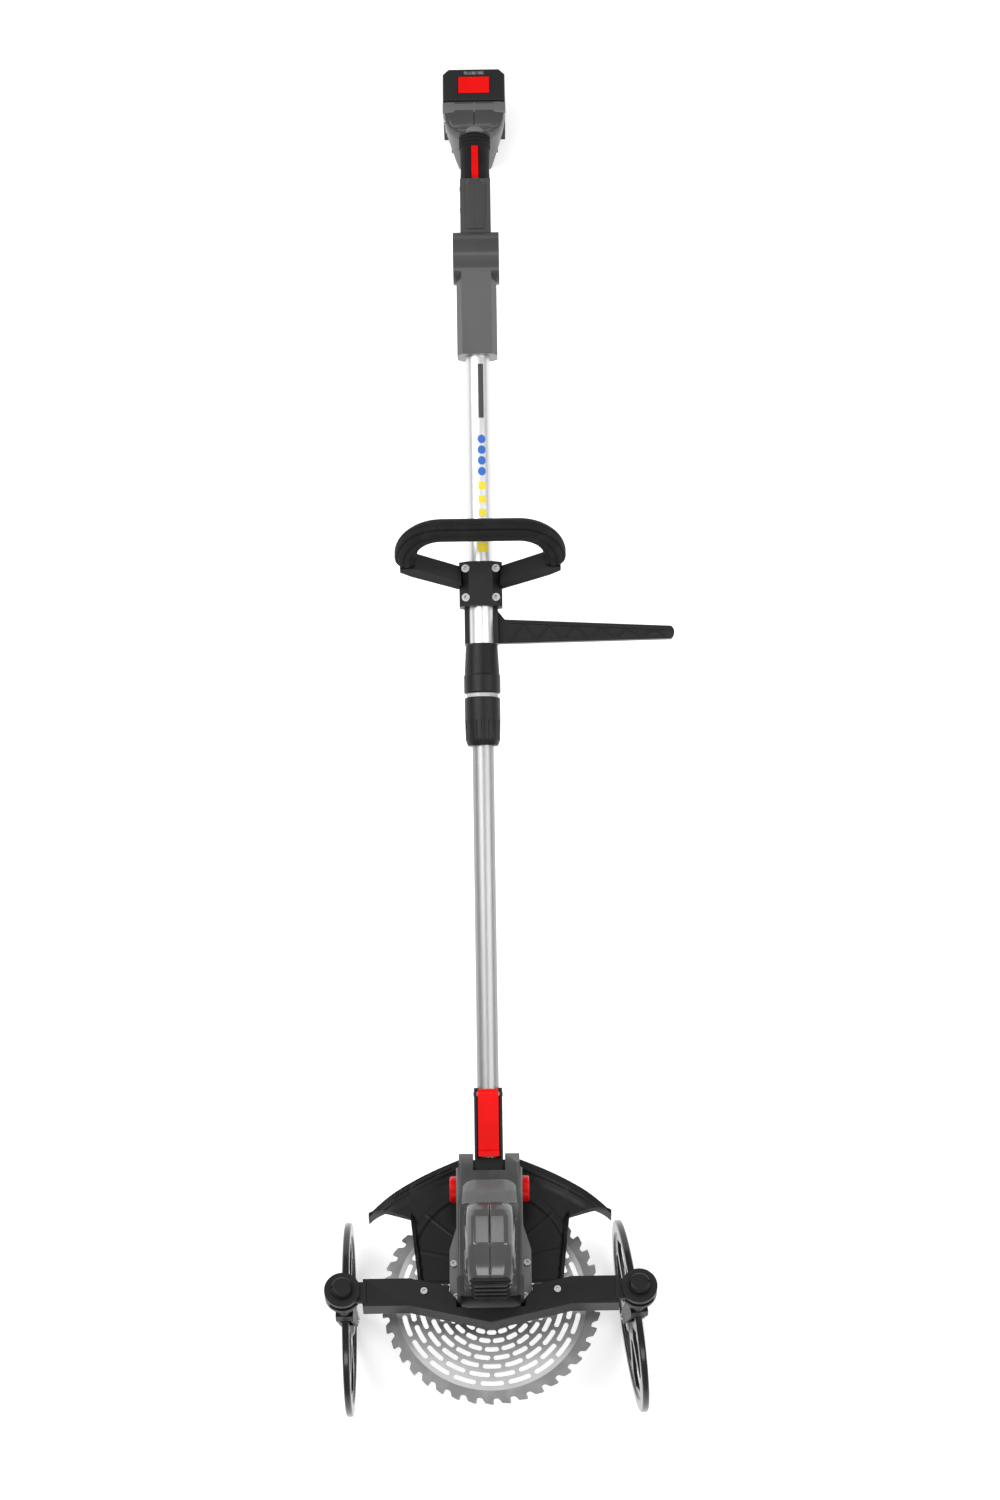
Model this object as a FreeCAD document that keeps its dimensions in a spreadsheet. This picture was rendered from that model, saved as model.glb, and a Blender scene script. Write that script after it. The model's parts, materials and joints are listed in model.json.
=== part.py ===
import FreeCAD, Part
import math
import os
import re
import Sketcher

# A battery brush cutter on two casters.  Millimetres and degrees.
# X runs across the machine, Y along it from the cutting head to the battery, Z is up.
# The machine lies on its two wheels and on the flat foot of its rear handle.
#
# Five local frames carry the sub-parts:
#   shaft  - origin on the head's hinge, Y along the tubes
#   grip   - origin on the drum of the rear handle, Y along the grip
#   head   - origin on the head's hinge, Z along the blade's axis, Y backwards
#   motor  - the head frame moved forward to the blade's axis
#   caster - the head frame moved to each swivel axis and turned by its toe angle

DIMENSIONS = {
    "Posture": {
        "shaft_fall": 4.9,
        "grip_fall": 13,
        "head_fold": 25,
        "toe_left": 0,
        "toe_right": 7.5,
    },
    "Tubes": {
        "upper_radius": 14,
        "upper_wall": 1.2,
        "upper_start": 548,
        "upper_end": 1108,
        "lower_radius": 12.5,
        "lower_wall": 1.5,
        "lower_start": 36,
        "lower_end": 760,
        "lead_radius": 3.5,
    },
    "Telescopic lock": {
        "nut_start": 512,
        "nut_end": 568,
        "nut_radius": 20.75,
        "nut_bore": 12.9,
        "nut_cone_end": 519,
        "nut_flute_end": 541,
        "collet_start": 522,
        "collet_end": 545,
        "collet_radius": 15.5,
        "collet_bore": 12.6,
        "thread_radius": 16.5,
        "seal_end": 573,
        "seal_radius": 18.2,
        "sleeve_band_end": 594,
        "sleeve_band_radius": 21.25,
        "sleeve_radius": 18.5,
        "sleeve_end": 631,
        "flute_count": 16,
        "flute_radius": 2.2,
    },
    "Front handle": {
        "clamp_start": 674,
        "clamp_end": 726,
        "clamp_half_width": 25,
        "clamp_height": 22,
        "clamp_split": 0.4,
        "clamp_bore": 14.15,
        "clamp_bolt_side": 17.6,
        "clamp_bolt_front": 684,
        "clamp_bolt_rear": 718,
        "clamp_bolt_radius": 2.5,
        "clamp_head_radius": 4.6,
        "clamp_head_height": 5,
        "loop_lean": 32,
        "loop_half_width": 86,
        "loop_top": 100,
        "loop_foot": 46,
        "loop_corner": 42,
        "loop_core_radius": 7,
        "loop_grip_radius": 13,
        "loop_strut_depth": 30,
        "saddle_start": 632,
        "saddle_half_width": 19.5,
        "barrier_root": 29,
        "barrier_tip": 17,
        "barrier_reach": 226,
        "barrier_thickness": 12,
    },
    "Tube socket": {
        "socket_start": 970,
        "drum_at": 1088,
        "drum_radius": 31,
        "drum_half_width": 27,
        "socket_half_width": 23.5,
        "socket_flat": 17.5,
        "socket_half_height": 24,
    },
    "Rear handle": {
        "handle_wall": 2.5,
        "yoke_half_width": 18,
        "yoke_top": 18,
        "yoke_bottom": 24,
        "yoke_end": 96,
        "neck_radius": 13.5,
        "neck_axis": -2.5,
        "grip_radius": 17.5,
        "grip_start": 97,
        "grip_end": 158,
        "foot_start": 158,
        "foot_end": 196,
        "foot_half_width": 37,
        "foot_top": 21,
        "lever_width": 8,
        "lever_start": 99,
        "lever_end": 141,
        "lever_pivot_y": 102,
        "lever_pivot_z": 8,
        "lever_top": 17.2,
        "trigger_pivot_y": 55,
        "trigger_pivot_z": -15,
        "trigger_width": 11,
        "pivot_bore": 1.2,
    },
    "Battery": {
        "battery_start": 196.3,
        "battery_end": 238,
        "battery_half_width": 37,
        "battery_top": 24,
        "battery_bottom": -77,
        "battery_wall": 2.2,
        "cell_radius": 9.1,
        "cell_length": 65,
        "cell_count": 5,
        "cell_pitch": 18.25,
        "cell_back": 5.4,
        "button_half_width": 18.5,
        "button_depth": 21,
        "button_recess": 6,
        "button_play": 0.4,
    },
    "Neck": {
        "neck_end": 116,
        "channel_half_width": 16.25,
        "channel_slot": 13.2,
        "channel_top": 24,
        "channel_bottom": 16,
        "block_half_width": 17,
        "block_radius": 15,
        "block_half_height": 10,
        "block_spigot": 10.9,
        "block_spigot_end": 62,
        "pin_radius": 4,
        "pin_bore": 4.05,
        "pin_half_length": 24,
        "latch_half_width": 12,
        "latch_start": 38,
        "latch_pivot_y": 109,
        "latch_pivot_z": 19,
        "latch_cam": 6.2,
        "latch_bottom": 14.5,
        "latch_top": 25,
        "latch_pin_radius": 2.5,
        "latch_pin_bore": 2.55,
    },
    "Head": {
        "motor_forward": 100,
        "head_half_width": 38,
        "ear_half_width": 35,
        "ear_slot": 18.35,
        "dome_half_width": 30,
        "head_wall": 3,
        "hinge_clearance": 16.5,
        "tilt_button_radius": 15,
        "tilt_button_out": 45.8,
        "tilt_button_in": 35.2,
        "tilt_recess_radius": 15.5,
        "tilt_recess_floor": 29.5,
        "tilt_spring_height": 1.5,
        "flange_top": -25,
        "flange_bottom": -33,
        "can_radius": 27,
        "can_wall": 1.5,
        "can_bottom": -10,
        "can_top": 52,
        "stator_bore": 17.5,
        "rotor_radius": 17,
        "spindle_radius": 5,
        "bearing_radius": 8,
        "bearing_width": 5,
        "screw_radius": 2,
        "screw_head_radius": 4,
        "screw_head_height": 3,
    },
    "Cutting gear": {
        "blade_radius": 127.5,
        "blade_root": 120,
        "blade_thickness": 2,
        "blade_middle": -89,
        "blade_bore": 12.7,
        "blade_flange_radius": 22,
        "tooth_count": 40,
        "slot_count": 20,
        "slot_width": 5.7,
        "slot_first_ring": 41,
        "slot_last_ring": 102.5,
        "slot_first_length": 11,
        "slot_last_length": 27,
        "slot_ring_count": 7,
        "cup_radius": 16,
    },
    "Guard": {
        "guard_top": -33,
        "guard_thickness": 3,
        "guard_skirt": 62,
        "guard_rear": 150,
        "guard_neck": 36,
        "guard_wing_x": 141,
        "guard_wing_y": 89,
        "guard_side": 90,
    },
    "Cross beam": {
        "beam_top": -15,
        "beam_height": 26,
        "beam_depth": 33,
        "beam_end": 146,
        "beam_shoulder": 92,
        "beam_axis": 118,
        "beam_point": 156,
        "tongue_height": 7,
        "tongue_radius": 12,
    },
    "Casters": {
        "caster_side": 169,
        "caster_forward": 117.5,
        "plate_top": -7,
        "knuckle_radius": 20.5,
        "knuckle_flat": 19.5,
        "knuckle_height": 20,
        "knuckle_slot": 8,
        "stem_radius": 5,
        "stem_bore": 5.05,
        "knob_radius": 12,
        "knob_height": 10.7,
        "boss_radius": 10.5,
        "boss_length": 49,
        "axle_trail": 34.7,
        "axle_drop": 187,
        "axle_radius": 4,
        "axle_bore": 4.05,
        "fork_inside": 6.5,
        "fork_thickness": 3.5,
        "wheel_radius": 114,
        "wheel_rim": 100,
        "wheel_half_width": 4,
        "wheel_hub": 16,
        "wheel_hub_half_width": 6,
        "spoke_count": 6,
    },
}

DOC = FreeCAD.newDocument("brush_cutter")
SHEET = DOC.addObject("Spreadsheet::Sheet", "dims")
ALIAS = re.compile(r"[a-z]+(_[a-z]+)+")
ACROSS = FreeCAD.Vector(1, 0, 0)
UPWARD = FreeCAD.Vector(0, 0, 1)
SUBPARTS = []

# Heights that follow from resting on the wheels: the head's hinge, then the drum.
HEAD_FALL = "(shaft_fall + head_fold)"
HINGE_HEIGHT = ("(wheel_radius + (axle_drop - plate_top) * cos(%s) - (caster_forward - axle_trail) * sin(%s))"
                % (HEAD_FALL, HEAD_FALL))
DRUM_HEIGHT = "(%s - drum_at * sin(shaft_fall))" % HINGE_HEIGHT
GRIP_FALL = "(shaft_fall + grip_fall)"


def fill_sheet():
    """Write the driving dimensions into the spreadsheet, one alias to a cell."""
    row = 1
    for group, cells in DIMENSIONS.items():
        SHEET.set("A%d" % row, group)
        row += 1
        for alias, number in cells.items():
            SHEET.set("A%d" % row, alias)
            SHEET.set("B%d" % row, str(number))
            SHEET.setAlias("B%d" % row, alias)
            row += 1
    DOC.recompute()


def size(text):
    """The number that an expression on the sheet's aliases gives."""
    return float(SHEET.evalExpression(str(text)))


def bind(target, name, text):
    """Tie a property or a constraint to an expression on the sheet."""
    target.setExpression(name, ALIAS.sub(r"dims.\g<0>", str(text)))


def shifted(frame, x=0, y=0, z=0):
    """A frame moved along its own axes."""
    offset = FreeCAD.Vector(size(x), size(y), size(z))
    return frame.multiply(FreeCAD.Placement(offset, FreeCAD.Rotation()))


def turned(frame, axis, angle):
    """A frame turned about one of its own axes."""
    rotation = FreeCAD.Rotation(axis, size(angle))
    return frame.multiply(FreeCAD.Placement(FreeCAD.Vector(), rotation))


def on_floor(station):
    """Where the grip frame's Z meets the floor at a station along the grip."""
    return "(((%s) * sin(%s) - %s) / cos(%s))" % (station, GRIP_FALL, DRUM_HEIGHT, GRIP_FALL)


def keep(target, label):
    """Name a sub-part; its label becomes its file name."""
    target.Label = label
    SUBPARTS.append(target)
    return target


class Drawing:
    """One sketch, with every point and radius tied to the sheet."""

    def __init__(self, sketch):
        self.sketch = sketch

    def fix_point(self, element, position, x, y):
        """Hold one point of an element at two expressions."""
        for kind, text in (("DistanceX", x), ("DistanceY", y)):
            number = size(text)
            if number == 0:
                axis = -2 if kind == "DistanceX" else -1
                constraint = Sketcher.Constraint("PointOnObject", element, position, axis)
                self.sketch.addConstraint(constraint)
                continue
            constraint = Sketcher.Constraint(kind, -1, 1, element, position, number)
            index = self.sketch.addConstraint(constraint)
            bind(self.sketch, "Constraints[%d]" % index, text)

    def fix_radius(self, element, radius):
        """Tie the radius of a circle or an arc to an expression."""
        constraint = Sketcher.Constraint("Radius", element, size(radius))
        index = self.sketch.addConstraint(constraint)
        bind(self.sketch, "Constraints[%d]" % index, radius)

    def circle(self, x, y, radius):
        centre = FreeCAD.Vector(size(x), size(y), 0)
        element = self.sketch.addGeometry(Part.Circle(centre, UPWARD, size(radius)), False)
        if size(x) == 0 and size(y) == 0:
            self.sketch.addConstraint(Sketcher.Constraint("Coincident", element, 3, -1, 1))
        else:
            self.fix_point(element, 3, x, y)
        self.fix_radius(element, radius)
        return self

    def outline(self, points, closed=True):
        """Straight and round stretches through points.

        A point is (x, y), or (x, y, radius) where the stretch that arrives there is an arc;
        a positive radius turns left and a negative one turns right.
        """
        corners = [FreeCAD.Vector(size(point[0]), size(point[1]), 0) for point in points]
        count = len(points)
        starts = {}
        ends = {}
        for i in range(count if closed else count - 1):
            here = corners[i]
            there = corners[(i + 1) % count]
            target = points[(i + 1) % count]
            if len(target) == 2:
                element = self.sketch.addGeometry(Part.LineSegment(here, there), False)
                starts[i] = (element, 1)
                ends[i] = (element, 2)
                continue
            radius = size(target[2])
            chord = there - here
            sagitta = abs(radius) - math.sqrt(max(radius ** 2 - (chord.Length / 2) ** 2, 0))
            outward = FreeCAD.Vector(chord.y, -chord.x, 0).normalize() * math.copysign(sagitta, radius)
            middle = (here + there) * 0.5 + outward
            left_turn = radius > 0
            first = here if left_turn else there
            last = there if left_turn else here
            element = self.sketch.addGeometry(Part.Arc(first, middle, last), False)
            starts[i] = (element, 1 if left_turn else 2)
            ends[i] = (element, 2 if left_turn else 1)
            self.fix_radius(element, str(target[2]).lstrip("-"))
        for i in starts:
            following = (i + 1) % count
            if following in starts:
                joined = ends[i] + starts[following]
                self.sketch.addConstraint(Sketcher.Constraint("Coincident", *joined))
        for i in range(count):
            element, position = starts[i] if i in starts else ends[i - 1]
            self.fix_point(element, position, points[i][0], points[i][1])
        return self

    def rectangle(self, left, bottom, right, top):
        return self.outline([(left, bottom), (right, bottom), (right, top), (left, top)])


class Piece:
    """A sub-part made feature by feature in its own body."""

    def __init__(self, label, frame, kept=True):
        self.body = DOC.addObject("PartDesign::Body", label)
        self.body.Label = label
        if kept:
            SUBPARTS.append(self.body)
        self.body.Placement = frame
        self.roles = {item.Role: item for item in self.body.Origin.OriginFeatures}
        self.flipped = {}

    def sketch(self, plane, at=0):
        """A sketch on an origin plane, or beside it at a distance along its axis."""
        sketch = self.body.newObject("Sketcher::SketchObject", "Sketch")
        sketch.AttachmentSupport = [(self.roles[plane + "_Plane"], "")]
        sketch.MapMode = "FlatFace"
        sign = -1 if plane == "XZ" else 1
        bind(sketch, "AttachmentOffset.Base.z", "%d * (%s)" % (sign, at))
        self.flipped[sketch.Name] = sign < 0
        return Drawing(sketch)

    def feature(self, kind, drawing):
        DOC.recompute()
        item = self.body.newObject("PartDesign::" + kind, kind)
        item.Profile = drawing.sketch
        drawing.sketch.Visibility = False
        return item

    def pad(self, drawing, length, back=False, symmetric=False):
        """Add material from the sketch towards the positive axis, or back from it."""
        item = self.feature("Pad", drawing)
        bind(item, "Length", length)
        item.Reversed = self.flipped[drawing.sketch.Name] != back
        if symmetric:
            item.SideType = "Symmetric"
        DOC.recompute()
        return item

    def pocket(self, drawing, length, back=False, symmetric=False):
        """Cut from the sketch towards the positive axis, or back from it."""
        before = self.body.Shape.Volume
        item = self.feature("Pocket", drawing)
        bind(item, "Length", length)
        item.Reversed = self.flipped[drawing.sketch.Name] == back
        if symmetric:
            item.SideType = "Symmetric"
        DOC.recompute()
        self.check_cut(before)
        return item

    def check_cut(self, before):
        if self.body.Shape.Volume >= before - 1e-6:
            raise RuntimeError(self.body.Label + ": a cut removed nothing")

    def revolve(self, drawing, axis="V"):
        item = self.feature("Revolution", drawing)
        item.ReferenceAxis = (drawing.sketch, [axis + "_Axis"])
        item.Angle = 360
        DOC.recompute()
        return item

    def around(self, item, axis, count):
        """Repeat a feature evenly round an origin axis."""
        pattern = self.body.newObject("PartDesign::PolarPattern", "PolarPattern")
        pattern.Originals = [item]
        pattern.Axis = (self.roles[axis + "_Axis"], [""])
        pattern.Angle = 360
        bind(pattern, "Occurrences", count)
        self.body.Tip = pattern
        DOC.recompute()
        return pattern

    def edges(self, chosen):
        """Names of the edges whose bounding box passes a test."""
        edges = self.body.Tip.Shape.Edges
        return ["Edge%d" % (index + 1) for index, edge in enumerate(edges) if chosen(edge.BoundBox)]

    def round_edges(self, radius, chosen):
        """Fillet the edges whose bounding box passes a test."""
        base = self.body.Tip
        names = self.edges(chosen)
        item = self.body.newObject("PartDesign::Fillet", "Fillet")
        item.Base = (base, names)
        bind(item, "Radius", radius)
        self.body.Tip = item
        DOC.recompute()
        if "Invalid" in item.State:
            raise RuntimeError(self.body.Label + ": a fillet failed")
        return item


def ring(label, frame, start, end, outer, inner):
    """A tube along the frame's Y axis."""
    piece = Piece(label, frame)
    section = piece.sketch("XZ", start).circle(0, 0, outer).circle(0, 0, inner)
    piece.pad(section, "(%s) - (%s)" % (end, start))
    return piece


def turned_ring(label, frame, outline):
    """A turned piece on the frame's Y axis; its outline is (radius, station) points."""
    piece = Piece(label, frame)
    piece.revolve(piece.sketch("XY").outline(outline))
    return piece


def cylinder(frame, radius, height):
    """A plain cylinder on the frame's Z axis, tied to the sheet."""
    item = DOC.addObject("Part::Cylinder", "Cylinder")
    bind(item, "Radius", radius)
    bind(item, "Height", height)
    item.Placement = frame
    return item


def joined(items):
    """Fuse a list of solids that touch."""
    item = DOC.addObject("Part::MultiFuse", "Fuse")
    item.Shapes = items
    return item


def cut(base, tool):
    item = DOC.addObject("Part::Cut", "Cut")
    item.Base = base
    item.Tool = tool
    return item


def grouped(label, items):
    """Several separate solids in one sub-part."""
    item = DOC.addObject("Part::Compound", label)
    item.Links = items
    return keep(item, label)


def socket_screw(frame, shank_radius, shank_length, head_radius, head_height):
    """A screw whose head stands up along Z and holds a hexagon socket."""
    shank = cylinder(shifted(frame, z="-(%s)" % shank_length), shank_radius, shank_length)
    head = cylinder(frame, head_radius, head_height)
    key = DOC.addObject("Part::Prism", "Key")
    key.Polygon = 6
    bind(key, "Circumradius", "(%s) * 0.55" % head_radius)
    bind(key, "Height", head_height)
    key.Placement = shifted(frame, z="(%s) * 0.4" % head_height)
    return cut(joined([shank, head]), key)


def make_tubes(shaft):
    ring("upper_tube", shaft, "upper_start", "upper_end", "upper_radius", "upper_radius - upper_wall")
    ring("lower_tube", shaft, "lower_start", "lower_end", "lower_radius", "lower_radius - lower_wall")
    upper_lead = Piece("power_lead", shaft)
    upper_lead.pad(upper_lead.sketch("XZ", "lower_end + 260").circle(0, 0, "lead_radius"),
                   "upper_end - lower_end - 268")
    lower_lead = Piece("motor_lead", shaft)
    lower_lead.pad(lower_lead.sketch("XZ", "block_spigot_end + 1").circle(0, 0, "lead_radius * 2"),
                   "lower_end - block_spigot_end - 6")


def make_lock(shaft):
    turned_ring("seal_ring", shaft, [
        ("thread_radius", "nut_end + 0.3"), ("seal_radius", "nut_end + 0.3"),
        ("seal_radius", "seal_end"), ("thread_radius", "seal_end")])
    turned_ring("collet", shaft, [
        ("collet_bore", "collet_start"), ("collet_radius - 1.5", "collet_start"),
        ("collet_radius", "collet_end"), ("collet_bore", "collet_end")])
    turned_ring("lock_sleeve", shaft, [
        ("upper_radius", "collet_end + 1"), ("thread_radius", "collet_end + 1"),
        ("thread_radius", "seal_end"), ("sleeve_band_radius - 1", "seal_end"),
        ("sleeve_band_radius", "seal_end + 1"), ("sleeve_band_radius", "sleeve_band_end"),
        ("sleeve_band_radius - 0.8", "sleeve_band_end + 0.8"), ("sleeve_radius", "sleeve_end - 1"),
        ("sleeve_radius - 1", "sleeve_end"), ("upper_radius", "sleeve_end")])
    nut = turned_ring("collar_nut", shaft, [
        ("nut_bore", "nut_start"), ("nut_radius - 3", "nut_start"),
        ("nut_radius - 0.6", "nut_cone_end"), ("nut_radius", "nut_flute_end"),
        ("nut_radius", "nut_end - 1"), ("nut_radius - 1", "nut_end"),
        ("thread_radius + 0.4", "nut_end"), ("thread_radius + 0.4", "collet_end"),
        ("collet_radius + 0.4", "collet_start - 1"), ("nut_bore", "collet_start - 2")])
    groove = nut.sketch("XZ", "nut_start").circle(0, "nut_radius + flute_radius / 2", "flute_radius")
    flute = nut.pocket(groove, "nut_flute_end - nut_start")
    nut.around(flute, "Y", "flute_count")


def make_front_handle(shaft):
    clamp = Piece("clamp_cap", shaft, kept=False)
    clamp.pad(clamp.sketch("XZ", "clamp_start").outline([
        ("-clamp_half_width", "clamp_split"), ("clamp_half_width", "clamp_split"),
        ("clamp_half_width", "clamp_height / 2"), ("upper_radius", "clamp_height"),
        ("-upper_radius", "clamp_height"), ("-clamp_half_width", "clamp_height / 2")]),
        "clamp_end - clamp_start")
    clamp.pocket(clamp.sketch("XZ", "clamp_start - 1").circle(0, 0, "clamp_bore"),
                 "clamp_end - clamp_start + 2")
    for side in ("-", ""):
        for station in ("clamp_bolt_front", "clamp_bolt_rear"):
            clamp.pocket(clamp.sketch("XY", 0).circle(side + "clamp_bolt_side", station, "clamp_bolt_radius"),
                         "clamp_height")
            clamp.pocket(clamp.sketch("XY", "clamp_height / 2").circle(
                side + "clamp_bolt_side", station, "clamp_head_radius + 0.2"), "clamp_height")

    lean = shifted(shaft, y="(clamp_start + clamp_end) / 2")
    lean = turned(lean, ACROSS, "-loop_lean")
    path = DOC.addObject("Sketcher::SketchObject", "LoopPath")
    Drawing(path).outline([
        ("loop_half_width", "loop_foot"), ("loop_half_width", "loop_top - loop_corner"),
        ("loop_half_width - loop_corner", "loop_top", "loop_corner"),
        ("loop_corner - loop_half_width", "loop_top"),
        ("-loop_half_width", "loop_top - loop_corner", "loop_corner"),
        ("-loop_half_width", "loop_foot")], closed=False)
    path.Placement = turned(lean, ACROSS, 90)

    def swept(radius):
        section = DOC.addObject("Sketcher::SketchObject", "LoopSection")
        Drawing(section).circle(0, 0, radius)
        section.Placement = shifted(lean, x="loop_half_width", z="loop_foot")
        sweep = DOC.addObject("Part::Sweep", "Sweep")
        sweep.Sections = [section]
        DOC.recompute()
        count = len(path.Shape.Edges)
        sweep.Spine = (path, ["Edge%d" % (i + 1) for i in range(count)])
        sweep.Solid = True
        sweep.Frenet = True
        sweep.Transition = "Round corner"
        return sweep

    grip = cut(swept("loop_grip_radius"), swept("loop_core_radius"))
    keep(grip, "d_handle_grip")

    arms = Piece("loop_arms", lean, kept=False)
    for side in ("-", ""):
        arms.pad(arms.sketch("XZ").outline([
            (side + "(upper_radius + 7)", 6), (side + "(loop_half_width - 6)", "loop_foot - 14"),
            (side + "(loop_half_width + loop_core_radius)", "loop_foot - 6"),
            (side + "(loop_half_width + loop_core_radius)", "loop_foot"),
            (side + "(loop_half_width - loop_core_radius - 4)", "loop_foot"),
            (side + "(upper_radius + 9)", 21)]), "loop_strut_depth * 0.8", symmetric=True)
    arms.pocket(arms.sketch("XY", 0).rectangle("-clamp_half_width", -26, "clamp_half_width", 26), 14)
    keep(joined([arms.body, swept("loop_core_radius"), clamp.body]), "d_handle")

    barrier = Piece("barrier_bar", shaft)
    barrier.pad(barrier.sketch("XZ", "clamp_start").outline([
        ("-clamp_half_width", "-clamp_split"), ("clamp_half_width", "-clamp_split"),
        ("clamp_half_width", "-clamp_height / 2"), ("upper_radius", "-clamp_height"),
        ("-upper_radius", "-clamp_height"), ("-clamp_half_width", "-clamp_height / 2")]),
        "clamp_end - clamp_start")
    barrier.pad(barrier.sketch("XZ", "saddle_start").rectangle(
        "-saddle_half_width", "-clamp_height", "saddle_half_width", "-clamp_split"),
        "clamp_start - saddle_start")
    barrier.pad(barrier.sketch("XY", "-clamp_height").outline([
        ("upper_radius + 1", "saddle_start + 1"), ("barrier_reach - 4", "saddle_start + 4"),
        ("barrier_reach - 4", "saddle_start + barrier_tip + 2", "barrier_tip / 2 + 1"),
        ("saddle_half_width + 8", "saddle_start + barrier_root"),
        ("saddle_half_width", "saddle_start + barrier_root + 10"),
        ("upper_radius + 1", "saddle_start + barrier_root + 10")]), "barrier_thickness")
    barrier.pocket(barrier.sketch("XZ", "saddle_start - 1").circle(0, 0, "clamp_bore"),
                   "clamp_end - saddle_start + 2")
    for side in ("-", ""):
        for station in ("clamp_bolt_front", "clamp_bolt_rear"):
            barrier.pocket(barrier.sketch("XY", "-clamp_height").circle(
                side + "clamp_bolt_side", station, "clamp_bolt_radius"), "clamp_height")
            barrier.pocket(barrier.sketch("XY", "-clamp_height").circle(
                side + "clamp_bolt_side", station, "clamp_head_radius + 0.4"), "clamp_height / 2")

    bolts = []
    nuts = []
    for side in ("-", ""):
        for station in ("clamp_bolt_front", "clamp_bolt_rear"):
            seat = shifted(shaft, side + "clamp_bolt_side", station, "clamp_height / 2")
            bolts.append(socket_screw(seat, "clamp_bolt_radius", "clamp_height + 3", "clamp_head_radius",
                                      "clamp_head_height + 3"))
            blank = DOC.addObject("Part::Prism", "Nut")
            blank.Polygon = 6
            bind(blank, "Circumradius", "clamp_head_radius")
            bind(blank, "Height", 4)
            blank.Placement = shifted(seat, z="-clamp_height - 4")
            nuts.append(cut(blank, cylinder(shifted(seat, z="-clamp_height - 5"), "clamp_bolt_radius", 6)))
    grouped("clamp_bolts", bolts)
    grouped("clamp_nuts", nuts)


def make_tube_socket(shaft):
    socket = Piece("tube_socket", shaft)
    socket.pad(socket.sketch("XZ", "socket_start").outline([
        ("-socket_half_width", "-socket_half_height * 0.6"), ("-socket_flat", "-socket_half_height"),
        ("socket_flat", "-socket_half_height"), ("socket_half_width", "-socket_half_height * 0.6"),
        ("socket_half_width", "socket_half_height * 0.5"), ("socket_flat", "socket_half_height"),
        ("-socket_flat", "socket_half_height"), ("-socket_half_width", "socket_half_height * 0.5")]),
        "drum_at - socket_start")
    socket.pad(socket.sketch("YZ").circle("drum_at", 0, "drum_radius"), "drum_half_width * 2",
               symmetric=True)
    socket.pocket(socket.sketch("XZ", "socket_start - 1").circle(0, 0, "upper_radius"),
                  "upper_end - socket_start + 1")
    socket.pocket(socket.sketch("XZ", "upper_end - 1").circle(0, -4, "lead_radius + 2"), 14)
    return socket


def handle_half(label, grip, side):
    """One half of the rear handle: yoke, neck and foot, hollow, open at the centre plane."""
    back = side == "-"
    shell = Piece(label, grip)
    yoke = [("drum_radius * 0.815", "yoke_top"), ("drum_radius * 0.634", "-yoke_bottom", "-drum_radius"),
            ("yoke_end", "-yoke_bottom + 2"), ("yoke_end", "yoke_top")]
    shell.pad(shell.sketch("YZ").outline(yoke), "yoke_half_width", back)
    half_disc = shell.sketch("XZ", "yoke_end - 4").outline([
        (0, "neck_axis - neck_radius"),
        (0, "neck_axis + neck_radius", ("" if side == "" else "-") + "neck_radius * 1.0001")])
    shell.pad(half_disc, "foot_start - yoke_end + 8")
    foot = [("foot_start + 6", on_floor("foot_start + 6")), ("foot_end", on_floor("foot_end")),
            ("foot_end", "foot_top - 4"), ("foot_end - 4", "foot_top"), ("foot_start + 8", "foot_top"),
            ("foot_start", "foot_top - 8"), ("foot_start", "-yoke_bottom - 8")]
    shell.pad(shell.sketch("YZ").outline(foot), "foot_half_width - 6", back)
    cheek = [("foot_start + 12", on_floor("foot_start + 12")), ("foot_end", on_floor("foot_end")),
             ("foot_end", "foot_top - 4"), ("foot_end - 4", "foot_top"), ("foot_start + 16", "foot_top"),
             ("foot_start + 12", "foot_top - 4")]
    shell.pad(shell.sketch("YZ").outline(cheek), "foot_half_width", back)
    inner_yoke = [("drum_radius + 3", "yoke_top - handle_wall"),
                  ("drum_radius + 3", "-yoke_bottom + handle_wall"),
                  ("yoke_end - 2", "-yoke_bottom + handle_wall + 2"),
                  ("yoke_end - 2", "yoke_top - handle_wall")]
    shell.pocket(shell.sketch("YZ").outline(inner_yoke), "yoke_half_width - handle_wall", back)
    inner_neck = shell.sketch("YZ").rectangle("yoke_end - 6", "neck_axis - neck_radius + 5",
                                              "foot_start + 4", "neck_axis + neck_radius - 5")
    shell.pocket(inner_neck, "neck_radius - 5", back)
    inner_foot = [("foot_start + 9", on_floor("foot_start + 9") + " + 3"),
                  ("foot_end - handle_wall", on_floor("foot_end - handle_wall") + " + 3"),
                  ("foot_end - handle_wall", "foot_top - 6"), ("foot_start + 8", "foot_top - 6")]
    shell.pocket(shell.sketch("YZ").outline(inner_foot), "foot_half_width - 8.5", back)
    trigger_slot = shell.sketch("YZ").rectangle("trigger_pivot_y - 6", -30, "trigger_pivot_y + 39", -14)
    shell.pocket(trigger_slot, "trigger_width / 2 + 0.5", back)
    lever_slot = shell.sketch("YZ").rectangle("lever_start - 1", 0, "lever_end + 1", 30)
    shell.pocket(lever_slot, "lever_width / 2 + 0.5", back)
    terminal_slot = shell.sketch("YZ").rectangle("foot_end - 8", -50, "foot_end + 1", -10)
    shell.pocket(terminal_slot, 14, back)
    return shell


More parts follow.
